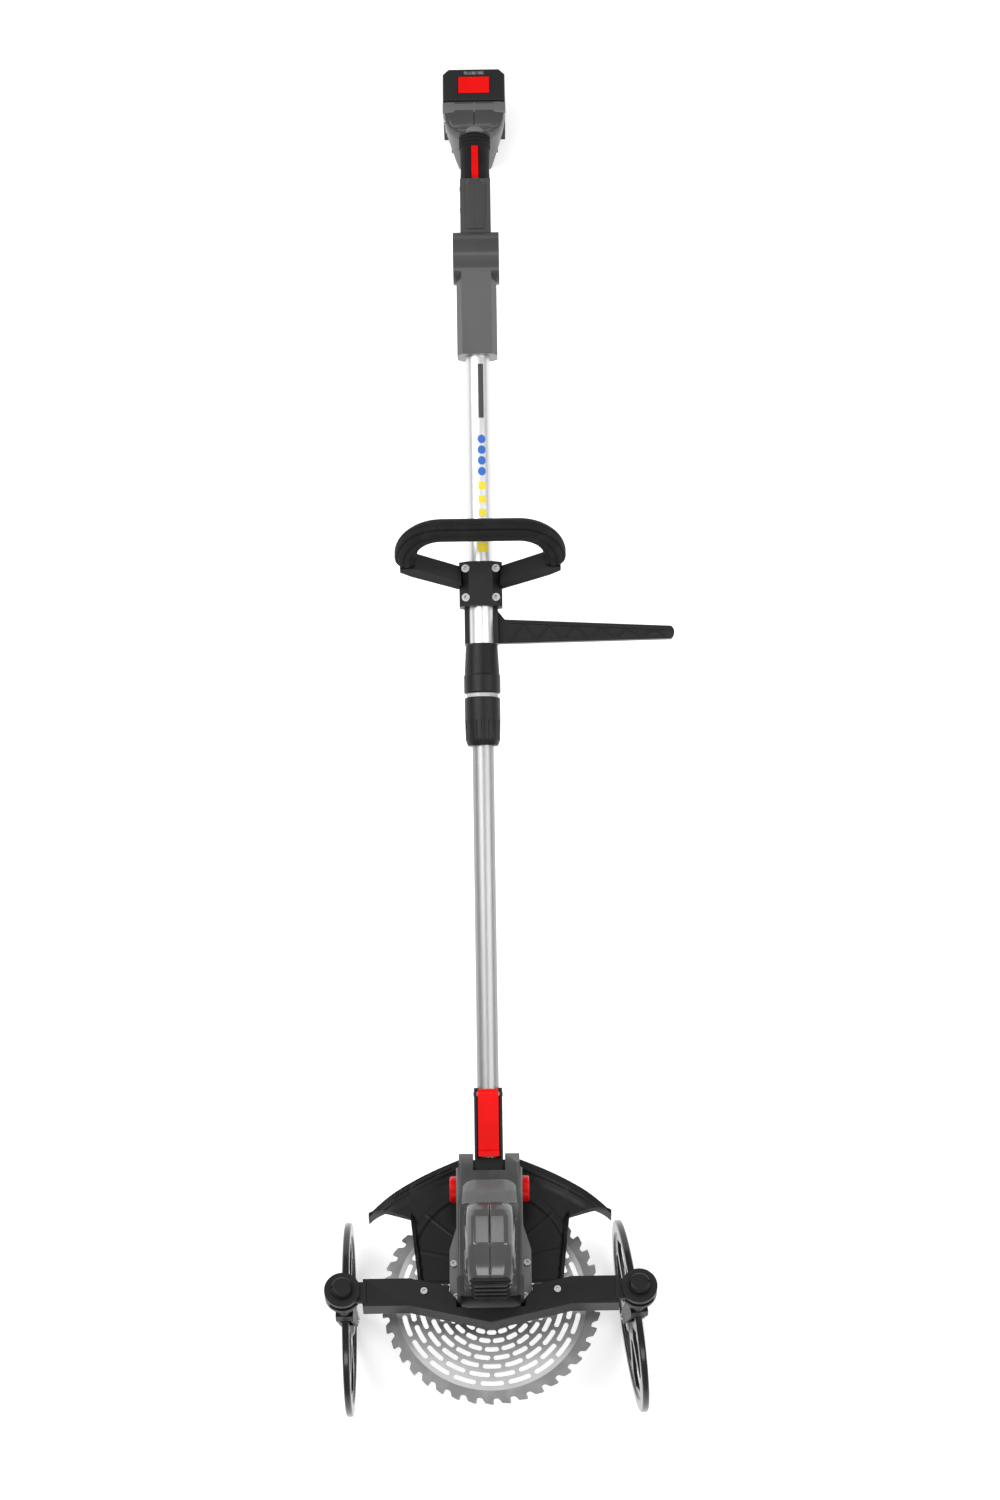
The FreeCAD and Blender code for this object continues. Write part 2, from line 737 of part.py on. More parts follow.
def make_rear_handle(grip):
    handle_half("handle_shell_left", grip, "-")
    handle_half("handle_shell_right", grip, "")

    sleeve = Piece("grip_sleeve", grip)
    sleeve.pad(sleeve.sketch("XZ", "grip_start").circle(0, "neck_axis", "grip_radius").circle(
        0, "neck_axis", "neck_radius"), "grip_end - grip_start")
    rib = sleeve.sketch("XZ", "grip_end - 12").circle(0, "neck_axis", "grip_radius + 1.5").circle(
        0, "neck_axis", "neck_radius")
    sleeve.pad(rib, 3)
    rib = sleeve.sketch("XZ", "grip_end - 6").circle(0, "neck_axis", "grip_radius + 1.5").circle(
        0, "neck_axis", "neck_radius")
    sleeve.pad(rib, 3)
    sleeve.pocket(sleeve.sketch("XY").rectangle("-lever_width / 2 - 0.5", "lever_start - 1",
                                                "lever_width / 2 + 0.5", "lever_end + 1"), 30)

    lever = Piece("lock_off_lever", grip)
    lever.pad(lever.sketch("YZ").outline([
        ("lever_start", "lever_pivot_z - 2"), ("lever_end", "lever_pivot_z + 1"),
        ("lever_end", "lever_top - 2"), ("lever_end - 3", "lever_top"),
        ("lever_start + 2", "lever_top - 1"), ("lever_start", "lever_top - 3")]),
        "lever_width", symmetric=True)
    lever.pocket(lever.sketch("YZ").circle("lever_pivot_y", "lever_pivot_z", "pivot_bore"), 20,
                 symmetric=True)

    trigger = Piece("trigger", grip)
    trigger.pad(trigger.sketch("YZ").outline([
        ("trigger_pivot_y - 4", "trigger_pivot_z + 3"), ("trigger_pivot_y - 4", "trigger_pivot_z - 6"),
        ("trigger_pivot_y + 8", "trigger_pivot_z - 16", "18"),
        ("trigger_pivot_y + 20", "trigger_pivot_z - 27", "-30"),
        ("trigger_pivot_y + 30", "trigger_pivot_z - 20"),
        ("trigger_pivot_y + 31", "trigger_pivot_z + 3")]), "trigger_width", symmetric=True)
    trigger.pocket(trigger.sketch("YZ").circle("trigger_pivot_y", "trigger_pivot_z", "pivot_bore"), 20,
                   symmetric=True)

    switch = Piece("trigger_switch", grip)
    switch.pad(switch.sketch("YZ").rectangle("trigger_pivot_y + 6", -3, "trigger_pivot_y + 36", 11), 18,
               symmetric=True)
    board = Piece("control_board", grip)
    board.pad(board.sketch("XY", -60).rectangle(-28, "foot_start + 12", 28, "foot_start + 14"), 64)
    board.pad(board.sketch("XY", -40).rectangle(-12, "foot_start + 14", 12, "foot_start + 22"), 20)
    block = Piece("terminal_block", grip)
    block.pad(block.sketch("XY", -48).rectangle(-13.5, "foot_end - 7.8", 13.5, "foot_end + 7"), 36)
    for offset in (-9, -3, 3, 9):
        blade_gap = block.sketch("XY", -48).rectangle(offset - 0.6, "foot_end + 1", offset + 0.6, "foot_end + 8")
        block.pocket(blade_gap, 30)

    screws = []
    for station, height in ((56, 13.5), (84, 13.5), ("foot_start + 16", "foot_top - 3"),
                            ("foot_start + 22", on_floor("foot_start + 22") + " + 7")):
        on_foot = station not in (56, 84)
        reach = "foot_half_width" if on_foot else "yoke_half_width"
        seat = turned(shifted(grip, "-" + reach, station, height), FreeCAD.Vector(0, 1, 0), -90)
        screws.append(socket_screw(seat, "screw_radius - 0.4", "(%s) * 2 - 5" % reach,
                                   "screw_head_radius - 1", 1.2))
    grouped("handle_screws", screws)


def make_battery(grip):
    case = Piece("battery_case", grip)
    case.pad(case.sketch("XY", "battery_bottom").outline([
        ("-battery_half_width", "battery_start"), ("battery_half_width", "battery_start"),
        ("battery_half_width", "battery_end - 7"), ("battery_half_width - 7", "battery_end"),
        ("7 - battery_half_width", "battery_end"), ("-battery_half_width", "battery_end - 7")]),
        "battery_top - battery_bottom")
    case.round_edges(3, lambda span: span.ZLength < 0.01 and abs(span.ZMax - size("battery_top")) < 0.01
                     and span.YMax > size("battery_start") + 1)
    case.pocket(case.sketch("YZ").rectangle("battery_end - cell_back - cell_radius * 2 - 0.4",
                                            "battery_bottom + battery_wall", "battery_end - cell_back + 0.4",
                                            "battery_top - 7"),
                "cell_length + 2", symmetric=True)
    rail_slot = case.sketch("XY", "battery_bottom - 1").rectangle(-15, "battery_start - 1",
                                                                  15, "battery_start + 8")
    case.pocket(rail_slot, "-battery_bottom - 8")
    case.pocket(case.sketch("XY", "battery_top - button_recess").rectangle(
        "-button_half_width - button_play", "battery_start + 9", "button_half_width + button_play",
        "battery_start + 9.8 + button_depth"), 20)
    window_seat = case.sketch("XY", "battery_top - 1.5").rectangle(-12, "battery_end - 8",
                                                                   12, "battery_end - 4")
    case.pocket(window_seat, 20)
    window = Piece("battery_indicator", grip)
    window.pad(window.sketch("XY", "battery_top - 1.5").rectangle(-12, "battery_end - 8",
                                                                  12, "battery_end - 4"), 1.8)
    button = Piece("battery_release_button", grip)
    button.pad(button.sketch("XY", "battery_top - button_recess + 3.3").rectangle(
        "-button_half_width", "battery_start + 9.4",
        "button_half_width", "battery_start + 9.4 + button_depth"), "button_recess - 2.3")
    cells = []
    for index in range(int(size("cell_count"))):
        height = "battery_bottom + battery_wall + cell_radius + 0.1 + %d * cell_pitch" % index
        seat = shifted(grip, "-cell_length / 2", "battery_end - cell_back - cell_radius", height)
        cells.append(cylinder(turned(seat, FreeCAD.Vector(0, 1, 0), 90), "cell_radius", "cell_length"))
    grouped("battery_cells", cells)


def make_neck(shaft):
    channel = Piece("neck_channel", shaft)
    channel.pad(channel.sketch("XZ", "lower_start").outline([
        ("-channel_half_width", "-channel_bottom * 0.4"), ("-channel_half_width * 0.6", "-channel_bottom"),
        ("channel_half_width * 0.6", "-channel_bottom"), ("channel_half_width", "-channel_bottom * 0.4"),
        ("channel_half_width", "channel_top"), ("-channel_half_width", "channel_top")]),
        "neck_end - lower_start")
    channel.pocket(channel.sketch("XZ", "lower_start - 1").circle(0, 0, "lower_radius"),
                   "neck_end - lower_start + 2")
    channel.pocket(channel.sketch("XZ", "lower_start - 1").rectangle(
        "-channel_slot", 0, "channel_slot", "channel_top + 1"), "neck_end - lower_start + 2")
    channel.pocket(channel.sketch("YZ").circle("latch_pivot_y", "latch_pivot_z", "latch_pin_radius"), 60,
                   symmetric=True)

    block = Piece("pivot_block", shaft)
    block.pad(block.sketch("YZ").circle(0, 0, "block_radius"), "block_half_width * 2", symmetric=True)
    block.pad(block.sketch("YZ").rectangle(4, "-block_half_height", "lower_start", "block_half_height"),
              "block_half_width * 1.9", symmetric=True)
    block.pad(block.sketch("XZ", "lower_start - 1").circle(0, 0, "block_spigot"),
              "block_spigot_end - lower_start + 1")
    block.pocket(block.sketch("YZ").circle(0, 0, "pin_bore"), 60, symmetric=True)

    latch = Piece("clamp_lever", shaft)
    latch.pad(latch.sketch("YZ").outline([
        ("latch_start + 5", "latch_bottom"), ("latch_pivot_y - 8", "latch_bottom"),
        ("latch_pivot_y", "latch_pivot_z - latch_cam"),
        ("latch_pivot_y", "latch_pivot_z + latch_cam", "latch_cam * 1.0001"), ("latch_start + 8", "latch_top"),
        ("latch_start + 6", "latch_top + 3"), ("latch_start", "latch_top + 3"),
        ("latch_start", "latch_top - 3")]), "latch_half_width * 2", symmetric=True)
    latch.pocket(latch.sketch("YZ").circle("latch_pivot_y", "latch_pivot_z", "latch_pin_bore"), 60,
                 symmetric=True)
    pin = Piece("lever_pin", shaft)
    pin.pad(pin.sketch("YZ").circle("latch_pivot_y", "latch_pivot_z", "latch_pin_radius"),
            "channel_half_width * 2 + 1.6", symmetric=True)


# The side view of the motor housing, in the head frame: (Y, Z) points from the ears over the dome.
HOUSING = [("40", "-8"), ("40", "10"), ("22", "25"), ("0", "30"), ("-20", "41"), ("-38", "46"),
           ("-118", "34"), ("-131", "2"), ("-131", "flange_top"), ("-10", "flange_top"), ("24", "-20")]
DOME = [("-36", "40"), ("-50", "70"), ("-64", "83"), ("-100", "83"), ("-132", "61"), ("-132", "4"),
        ("-36", "4")]


def housing_half(label, head, side):
    """One half of the motor housing with its ear, hollow, open at the centre plane."""
    back = side == "-"
    shell = Piece(label, head)
    shell.pad(shell.sketch("YZ").outline(HOUSING), "head_half_width", back)
    shell.pad(shell.sketch("YZ").outline(DOME), "dome_half_width", back)

    def on_flank(span):
        return span.XLength < 0.01 and abs(abs(span.XMax) - size("head_half_width")) < 0.01

    def on_dome(span):
        return span.XLength < 0.01 and abs(abs(span.XMax) - size("dome_half_width")) < 0.01

    shell.round_edges(6, lambda span: on_flank(span) and span.ZMin > 9 and span.YMax < 30)
    shell.round_edges(9, lambda span: on_dome(span) and span.ZMin > 55)
    motor_room = shell.sketch("XY", "flange_top - 1").circle(0, "-motor_forward", "can_radius + 0.2")
    shell.pocket(motor_room, "can_top - flange_top + 4")
    rear_room = shell.sketch("YZ").rectangle(-62, "flange_top - 1", -30, 24)
    shell.pocket(rear_room, "head_half_width - head_wall - 6", back)
    front_room = shell.sketch("YZ").rectangle(-134, "flange_top - 1", -75, 3)
    shell.pocket(front_room, "head_half_width - head_wall - 1", back)
    shell.pocket(shell.sketch("YZ").circle(0, 0, "hinge_clearance"), "ear_slot", back)
    shell.pocket(shell.sketch("YZ").outline([
        (0, "-hinge_clearance"), (60, "-hinge_clearance"), (60, 60), (12, 60), (12, 25), (0, "hinge_clearance")]),
        "ear_slot", back)
    shell.pocket(shell.sketch("YZ").circle(0, 0, "pin_radius"), "pin_half_length", back)
    outer = shell.sketch("YZ", side + "tilt_recess_floor")
    shell.pocket(outer.circle(0, 0, "tilt_recess_radius"), 12, back)
    notch = shell.sketch("XY", "flange_top").circle(side + "39", "-motor_forward - 22", "screw_head_radius + 0.6")
    shell.pocket(notch, 12)
    trim = shell.sketch("YZ", side + "ear_half_width")
    shell.pocket(trim.rectangle(17, -30, 50, 60), 12, back)
    return shell


def make_head(head, motor):
    housing_half("motor_housing_left", head, "-")
    housing_half("motor_housing_right", head, "")

    grille = Piece("vent_grille", head)
    grille.pad(grille.sketch("XY", 8).rectangle(-20, -135, 20, -132), 50)
    for index in range(4):
        fin = grille.sketch("XY", 12 + index * 12).outline([
            (-24, -132), (-18, -139), (18, -139), (24, -132)])
        grille.pad(fin, 6)

    flange = Piece("base_flange", motor)
    flange.pad(flange.sketch("XY", "flange_bottom").outline([
        (-47, 36), (-47, -18), (-28, -38), (28, -38), (47, -18), (47, 36), (34, 80), (-34, 80)]),
        "flange_top - flange_bottom")
    flange.pad(flange.sketch("XY", "flange_top - 1").circle(0, 0, "can_radius"), "can_bottom - flange_top + 1")
    flange.pocket(flange.sketch("XY", "flange_bottom - 1").circle(0, 0, "bearing_radius + 4"), 40)

    can = Piece("motor_can", motor)
    can.revolve(can.sketch("XZ").outline([
        ("spindle_radius + 1", "can_bottom"), ("can_radius", "can_bottom"), ("can_radius", "can_top"),
        ("spindle_radius + 1", "can_top"), ("spindle_radius + 1", "can_top - 1.5"),
        ("bearing_radius", "can_top - 1.5"), ("bearing_radius", "can_top - 1.5 - bearing_width"),
        ("can_radius - can_wall", "can_top - 1.5 - bearing_width"),
        ("can_radius - can_wall", "can_bottom + 1.5 + bearing_width"),
        ("bearing_radius", "can_bottom + 1.5 + bearing_width"), ("bearing_radius", "can_bottom + 1.5"),
        ("spindle_radius + 1", "can_bottom + 1.5")]))

    def motor_ring(label, bottom, top, outer, inner):
        piece = Piece(label, motor)
        piece.revolve(piece.sketch("XZ").rectangle(inner, bottom, outer, top))
        return piece

    stator = motor_ring("motor_stator", "can_bottom + 9", "can_top - 9", "can_radius - can_wall", "stator_bore")
    slot = stator.pocket(stator.sketch("XY", "can_bottom").circle("stator_bore + 2", 0, 2.2), 70)
    stator.around(slot, "Z", 12)
    rotor = motor_ring("motor_rotor", "can_bottom + 10", "can_top - 10", "rotor_radius", "spindle_radius")
    pole = rotor.pocket(rotor.sketch("XY", "can_bottom").circle("rotor_radius", 0, 1.5), 70)
    rotor.around(pole, "Z", 8)
    bearings = Piece("bearings", motor)
    bearings.revolve(bearings.sketch("XZ").rectangle(
        "spindle_radius + 0.02", "can_bottom + 1.5", "bearing_radius", "can_bottom + 1.5 + bearing_width"))
    bearings.revolve(bearings.sketch("XZ").rectangle(
        "spindle_radius + 0.02", "can_top - 1.5 - bearing_width", "bearing_radius", "can_top - 1.5"))

    pin = Piece("hinge_pin", head)
    pin.pad(pin.sketch("YZ").circle(0, 0, "pin_radius"), "pin_half_length * 2", symmetric=True)
    springs = []
    for label, side in (("tilt_button_left", "-"), ("tilt_button_right", "")):
        button = Piece(label, head)
        disc = button.sketch("YZ", side + "tilt_button_in").circle(0, 0, "tilt_button_radius")
        button.pad(disc, "tilt_button_out - tilt_button_in", side == "-")
        button.round_edges(2.5, lambda span: abs(abs(span.XMax) - size("tilt_button_out")) < 0.01)
        seat = turned(shifted(head, side + "tilt_recess_floor"), FreeCAD.Vector(0, 1, 0), side + "90")
        outer = cylinder(seat, "tilt_button_radius - 3", "tilt_spring_height")
        springs.append(cut(outer, cylinder(seat, "tilt_button_radius - 6", "tilt_spring_height")))
    grouped("button_springs", springs)


def make_cutting_gear(motor):
    spindle = Piece("spindle", motor)
    spindle.pad(spindle.sketch("XY", "blade_middle - 14").circle(0, 0, "spindle_radius"),
                "can_top - blade_middle + 12")
    half = "blade_thickness / 2"
    upper = Piece("blade_flange", motor)
    upper.revolve(upper.sketch("XZ").outline([
        ("spindle_radius", "blade_middle - " + half), ("blade_bore", "blade_middle - " + half),
        ("blade_bore", "blade_middle + " + half), ("blade_flange_radius", "blade_middle + " + half),
        ("blade_flange_radius - 1", "blade_middle + 5"), ("blade_bore - 2", "blade_middle + 8"),
        ("blade_bore - 3", "flange_bottom - 18"), ("spindle_radius", "flange_bottom - 18")]))
    lower = Piece("clamp_flange", motor)
    lower.revolve(lower.sketch("XZ").rectangle(
        "spindle_radius", "blade_middle - 5", "blade_flange_radius", "blade_middle - " + half))
    nut = Piece("spindle_nut", motor)
    nut.revolve(nut.sketch("XZ").outline([
        ("spindle_radius", "blade_middle - 13"), ("cup_radius - 5", "blade_middle - 13"),
        ("cup_radius", "blade_middle - 9"), ("cup_radius", "blade_middle - 5"),
        ("spindle_radius", "blade_middle - 5")]))

    blade = DOC.addObject("Part::Feature", "saw_blade")
    blade.Shape = blade_shape()
    blade.Placement = shifted(motor, z="blade_middle - " + half)
    keep(blade, "saw_blade")


def polar(radius, angle):
    """A point in the blade's plane; the angle is in radians."""
    return FreeCAD.Vector(radius * math.cos(angle), radius * math.sin(angle), 0)


def blade_shape():
    """The toothed disc with its rings of slots, cut from one sheet."""
    outer = size("blade_radius")
    root = size("blade_root")
    pitch = 2 * math.pi / size("tooth_count")
    edges = []
    for index in range(int(size("tooth_count"))):
        start = -index * pitch
        tip = polar(outer, start)
        heel = polar(outer - 1.6, start - 0.42 * pitch)
        gullet_in = polar(root + 0.6, start - 0.62 * pitch)
        gullet_low = polar(root, start - 0.78 * pitch)
        gullet_out = polar(root + 1.4, start - 0.93 * pitch)
        following = polar(outer, start - pitch)
        edges.append(Part.makeLine(tip, heel))
        edges.append(Part.makeLine(heel, gullet_in))
        edges.append(Part.Arc(gullet_in, gullet_low, gullet_out).toShape())
        edges.append(Part.makeLine(gullet_out, following))
    wires = [Part.Wire(edges), Part.Wire(Part.makeCircle(size("blade_bore")))]
    rings = int(size("slot_ring_count"))
    count = int(size("slot_count"))
    for ring_index in range(rings):
        share = ring_index / (rings - 1)
        radius = size("slot_first_ring") + share * size("slot_last_ring - slot_first_ring")
        length = size("slot_first_length") + share * size("slot_last_length - slot_first_length")
        for index in range(count):
            angle = 2 * math.pi * (index + 0.5 * (ring_index % 2)) / count
            wires.append(slot_wire(radius, angle, length, size("slot_width")))
    sheet = Part.Face(wires, "Part::FaceMakerBullseye")
    return sheet.extrude(FreeCAD.Vector(0, 0, size("blade_thickness")))


def slot_wire(radius, angle, length, width):
    """A slot with round ends that follows the ring."""
    half = width / 2
    reach = (length / 2 - half) / radius
    first = angle - reach
    last = angle + reach
    outer = Part.Arc(polar(radius + half, first), polar(radius + half, angle), polar(radius + half, last))
    inner = Part.Arc(polar(radius - half, last), polar(radius - half, angle), polar(radius - half, first))
    bulge = half / radius
    far_end = Part.Arc(polar(radius + half, last), polar(radius, last + bulge), polar(radius - half, last))
    near_end = Part.Arc(polar(radius - half, first), polar(radius, first - bulge), polar(radius + half, first))
    return Part.Wire([outer.toShape(), far_end.toShape(), inner.toShape(), near_end.toShape()])


def make_guard(motor):
    guard = Piece("blade_guard", motor)
    rear = [("-guard_wing_x", "guard_wing_y"), ("-guard_neck", "guard_rear"), ("guard_neck", "guard_rear"),
            ("guard_wing_x", "guard_wing_y")]
    deck = guard.sketch("XY", "guard_top - guard_thickness").outline(
        rear + [("guard_wing_x - 8", "guard_wing_y - 9"), ("guard_side + 2", "guard_wing_y - 9"),
                ("guard_side - 7", -1), ("7 - guard_side", -1), ("-guard_side - 2", "guard_wing_y - 9"),
                ("8 - guard_wing_x", "guard_wing_y - 9")])
    guard.pad(deck, "guard_thickness")
    skirt = guard.sketch("XY", "guard_top - guard_thickness - guard_skirt").outline(
        rear + [("guard_wing_x - 4", "guard_wing_y - 3"), ("guard_neck - 1", "guard_rear - 3.5"),
                ("1 - guard_neck", "guard_rear - 3.5"), ("4 - guard_wing_x", "guard_wing_y - 3")])
    guard.pad(skirt, "guard_skirt + guard_thickness / 2")
    guard.pocket(guard.sketch("XY", -60).circle(0, 0, "bearing_radius + 4"), 60)
    return guard


def make_beam(motor):
    depth = "beam_depth"
    axis = "(motor_forward - beam_axis)"
    beam = Piece("cross_beam", motor)
    front = axis + " - beam_depth / 2"
    back = axis + " + beam_depth / 2"
    point = "(motor_forward - beam_point)"
    beam.pad(beam.sketch("XY", "beam_top - beam_height").outline([
        ("-beam_end", front), ("-beam_shoulder", front), (0, point), ("beam_shoulder", front),
        ("beam_end", front), ("beam_end", back), ("beam_shoulder", back), (0, point + " + " + depth),
        ("-beam_shoulder", back), ("-beam_end", back)]), "beam_height")
    beam.pocket(beam.sketch("XY", "flange_bottom - 3.2").outline([
        (-47.3, 36), (-47.3, -18.2), (-28.2, -38.3), (28.2, -38.3), (47.3, -18.2), (47.3, 36)]), 30)
    beam.pocket(beam.sketch("XY", "flange_bottom").outline([
        (-39, 0), (-39, -37), (39, -37), (39, 0)]), 60)
    for side in ("-", ""):
        tongue_level = "plate_top - (knuckle_height + tongue_height) / 2"
        beam.pad(beam.sketch("XY", tongue_level).outline([
            (side + "(beam_end - 4)", axis + " + tongue_radius"), (side + "(beam_end - 4)", axis + " - tongue_radius"),
            (side + "caster_side", axis + " + 0.5 - tongue_radius"),
            (side + "caster_side", axis + " + 0.5 + tongue_radius",
             ("-" if side == "-" else "") + "tongue_radius * 1.0001")]), "tongue_height")
        beam.pocket(beam.sketch("XY", -50).circle(side + "caster_side", axis + " + 0.5", "stem_bore + 0.3"), 60)

    screws = []
    for x, y in ((-42, 18.5), (42, 18.5), (-39, -22), (39, -22)):
        screws.append(socket_screw(shifted(motor, x, y, "flange_top"), "screw_radius", 8,
                                   "screw_head_radius", "screw_head_height"))
    for x in (-76, 76):
        screws.append(socket_screw(shifted(motor, x, axis, "beam_top"), "screw_radius", 18,
                                   "screw_head_radius", "screw_head_height"))
    grouped("base_screws", screws)


def make_caster(side_name, seat):
    """One caster: knuckle with its fork, knob, axle and wheel; its sign turns the flat inwards."""
    inward = "" if side_name == "left" else "-"
    outward = "-" if side_name == "left" else ""
    fork = Piece("caster_fork_" + side_name, seat)
    fork.pad(fork.sketch("XY", "-knuckle_height").circle(0, 0, "knuckle_radius"), "knuckle_height")
    fork.pocket(fork.sketch("XY", "-knuckle_height - 1").rectangle(
        inward + "knuckle_flat", -30, inward + "40", 30), "knuckle_height + 2")
    fork.pad(fork.sketch("XY", "-knuckle_height - boss_length").circle(0, 0, "boss_radius"), "boss_length + 1")
    outside = "(fork_inside + fork_thickness)"
    crown_low = "-knuckle_height - boss_length - 2"
    fork.pad(fork.sketch("YZ").outline([
        (-11, "-knuckle_height - boss_length + 12"), (-11, crown_low), (14, crown_low),
        (14, "-knuckle_height - boss_length + 12")]), outside + " * 2", symmetric=True)
    for sign in ("-", ""):
        fork.pad(fork.sketch("YZ", sign + "fork_inside").outline([
            (-11, crown_low + " + 0.5"), ("axle_trail - 8", "-axle_drop - 2"),
            ("axle_trail + 8", "-axle_drop - 2", "8.1"), (14, crown_low + " + 0.5")]),
            "fork_thickness", back=sign == "-")
    fork.pocket(fork.sketch("YZ").circle("axle_trail", "-axle_drop", "axle_radius"), 60, symmetric=True)
    slot = fork.sketch("XY", "-(knuckle_height + knuckle_slot) / 2").rectangle(
        outward + "14.5", -30, inward + "40", 30)
    fork.pocket(slot, "knuckle_slot")
    fork.pocket(fork.sketch("XY", "-knuckle_height - 8").circle(0, 0, "stem_radius"), "knuckle_height + 9")

    knob = Piece("caster_knob_" + side_name, seat)
    knob.pad(knob.sketch("XY").circle(0, 0, "knob_radius"), "knob_height")
    knob.round_edges(4, lambda span: abs(span.ZMin - size("knob_height")) < 0.01)
    knob.pad(knob.sketch("XY", "-knuckle_height - 8").circle(0, 0, "stem_radius"), "knuckle_height + 9")
    for sign in ("-", ""):
        knob.pocket(knob.sketch("XY", 2).circle(sign + "knob_radius", 0, 2), "knob_height")

    hub = shifted(seat, 0, "axle_trail", "-axle_drop")
    axle = Piece("axle_" + side_name, hub)
    axle.pad(axle.sketch("YZ").circle(0, 0, "axle_radius"), outside + " * 2 + 4", symmetric=True)

    wheel = Piece("wheel_" + side_name, hub)
    wheel.revolve(wheel.sketch("XY").outline([
        ("-wheel_hub_half_width", "axle_bore"), ("wheel_hub_half_width", "axle_bore"),
        ("wheel_hub_half_width", "wheel_hub"), (2.2, "wheel_hub + 6"), (2.2, "wheel_rim - 1"),
        ("wheel_half_width", "wheel_rim"), ("wheel_half_width", "wheel_radius - 1.5"),
        ("wheel_half_width - 1.5", "wheel_radius"), ("1.5 - wheel_half_width", "wheel_radius"),
        ("-wheel_half_width", "wheel_radius - 1.5"), ("-wheel_half_width", "wheel_rim"),
        (-2.2, "wheel_rim - 1"), (-2.2, "wheel_hub + 6"), ("-wheel_hub_half_width", "wheel_hub")]), "H")
    gap = wheel.pocket(wheel.sketch("YZ").outline([
        (9, "wheel_hub + 14"), (33, "wheel_rim - 26"), (22, "wheel_rim - 12"), (-22, "wheel_rim - 12"),
        (-33, "wheel_rim - 26"), (-9, "wheel_hub + 14")]), 30, symmetric=True)
    wheel.around(gap, "X", "spoke_count")


def check_model():
    """Stop if any object failed or any sub-part is empty or broken."""
    for item in DOC.Objects:
        if "Invalid" in item.State or "Error" in item.State:
            raise RuntimeError("%s (%s) failed: %s" % (item.Label, item.TypeId, item.State))
    for item in SUBPARTS:
        if item.Shape.isNull() or not item.Shape.isValid() or item.Shape.Volume <= 0:
            raise RuntimeError(item.Label + " has no sound shape")


def model_box():
    box = FreeCAD.BoundBox()
    for item in SUBPARTS:
        box.add(item.Shape.optimalBoundingBox(False))
    return box


def main():
    fill_sheet()
    world = FreeCAD.Placement()
    hinge = shifted(world, z=HINGE_HEIGHT)
    shaft = turned(hinge, ACROSS, "-shaft_fall")
    grip = turned(shifted(shaft, y="drum_at"), ACROSS, "-grip_fall")
    head = turned(hinge, ACROSS, "-" + HEAD_FALL)
    motor = shifted(head, y="-motor_forward")
    left = turned(shifted(head, "-caster_side", "-caster_forward", "plate_top"), UPWARD, "toe_left")
    right = turned(shifted(head, "caster_side", "-caster_forward", "plate_top"), UPWARD, "toe_right")

    make_tubes(shaft)
    make_lock(shaft)
    make_front_handle(shaft)
    make_tube_socket(shaft)
    make_rear_handle(grip)
    make_battery(grip)
    make_neck(shaft)
    make_head(head, motor)
    make_cutting_gear(motor)
    make_guard(motor)
    make_beam(motor)
    make_caster("left", left)
    make_caster("right", right)

    DOC.recompute()
    check_model()
    box = model_box()
    middle = FreeCAD.Vector(-box.Center.x, -box.Center.y, -box.ZMin)
    move = FreeCAD.Placement(middle, FreeCAD.Rotation())
    os.makedirs("parts", exist_ok=True)
    for item in SUBPARTS:
        shape = item.Shape.copy()
        shape.Placement = move.multiply(shape.Placement)
        shape.exportStep("parts/%s.step" % item.Label)
    print("sub-parts", len(SUBPARTS), "box", box, "shift", middle)
    for name, frame in (("hinge", hinge), ("shaft", shaft), ("grip", grip), ("head", head), ("motor", motor),
                        ("left", left), ("right", right)):
        placed = move.multiply(frame)
        print("frame", name, tuple(placed.Base), tuple(placed.Rotation.Q))


main()
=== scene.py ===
import bmesh
import bpy
import json
import math
from mathutils import Matrix, Vector


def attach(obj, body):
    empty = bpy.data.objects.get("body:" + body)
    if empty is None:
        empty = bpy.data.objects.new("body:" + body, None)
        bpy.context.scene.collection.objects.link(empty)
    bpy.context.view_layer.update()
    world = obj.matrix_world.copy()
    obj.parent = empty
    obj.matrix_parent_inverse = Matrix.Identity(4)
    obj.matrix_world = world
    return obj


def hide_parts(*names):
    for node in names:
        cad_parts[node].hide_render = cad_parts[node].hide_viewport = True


# A battery brush cutter lying on its two wheels and the foot of its rear handle.
# Metres in the scene and millimetres in the local frames.  The CAD nodes give every place; pieces
# made here stand for some of them.

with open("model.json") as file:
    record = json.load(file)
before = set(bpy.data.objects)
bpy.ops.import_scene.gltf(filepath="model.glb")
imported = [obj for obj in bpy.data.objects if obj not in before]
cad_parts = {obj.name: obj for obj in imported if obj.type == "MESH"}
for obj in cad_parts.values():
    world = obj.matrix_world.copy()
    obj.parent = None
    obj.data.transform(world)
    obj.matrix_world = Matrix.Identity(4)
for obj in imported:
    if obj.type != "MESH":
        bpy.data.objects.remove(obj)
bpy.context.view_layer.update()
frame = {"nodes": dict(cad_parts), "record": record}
JOINTS = {joint["name"]: joint for joint in frame["record"]["behaviour"]["joints"]}
NODE_SLOT = {part["node"]: part["material_slot"] for part in frame["record"]["subparts"]}
BODY_OF = {node: body for body, nodes in frame["record"]["behaviour"]["bodies"].items() for node in nodes}
SIDES = (("left", -1), ("right", 1))
MM = 0.001


# ---------------------------------------------------------------- shader writing

# A Mix node has a set of sockets for each data type; these are the ones that its colours use.
MIX_SHARE, MIX_FIRST, MIX_SECOND = 0, 6, 7
MIX_COLOUR = 2
FLAT_POINTINESS = 0.5   # Pointiness on a flat face

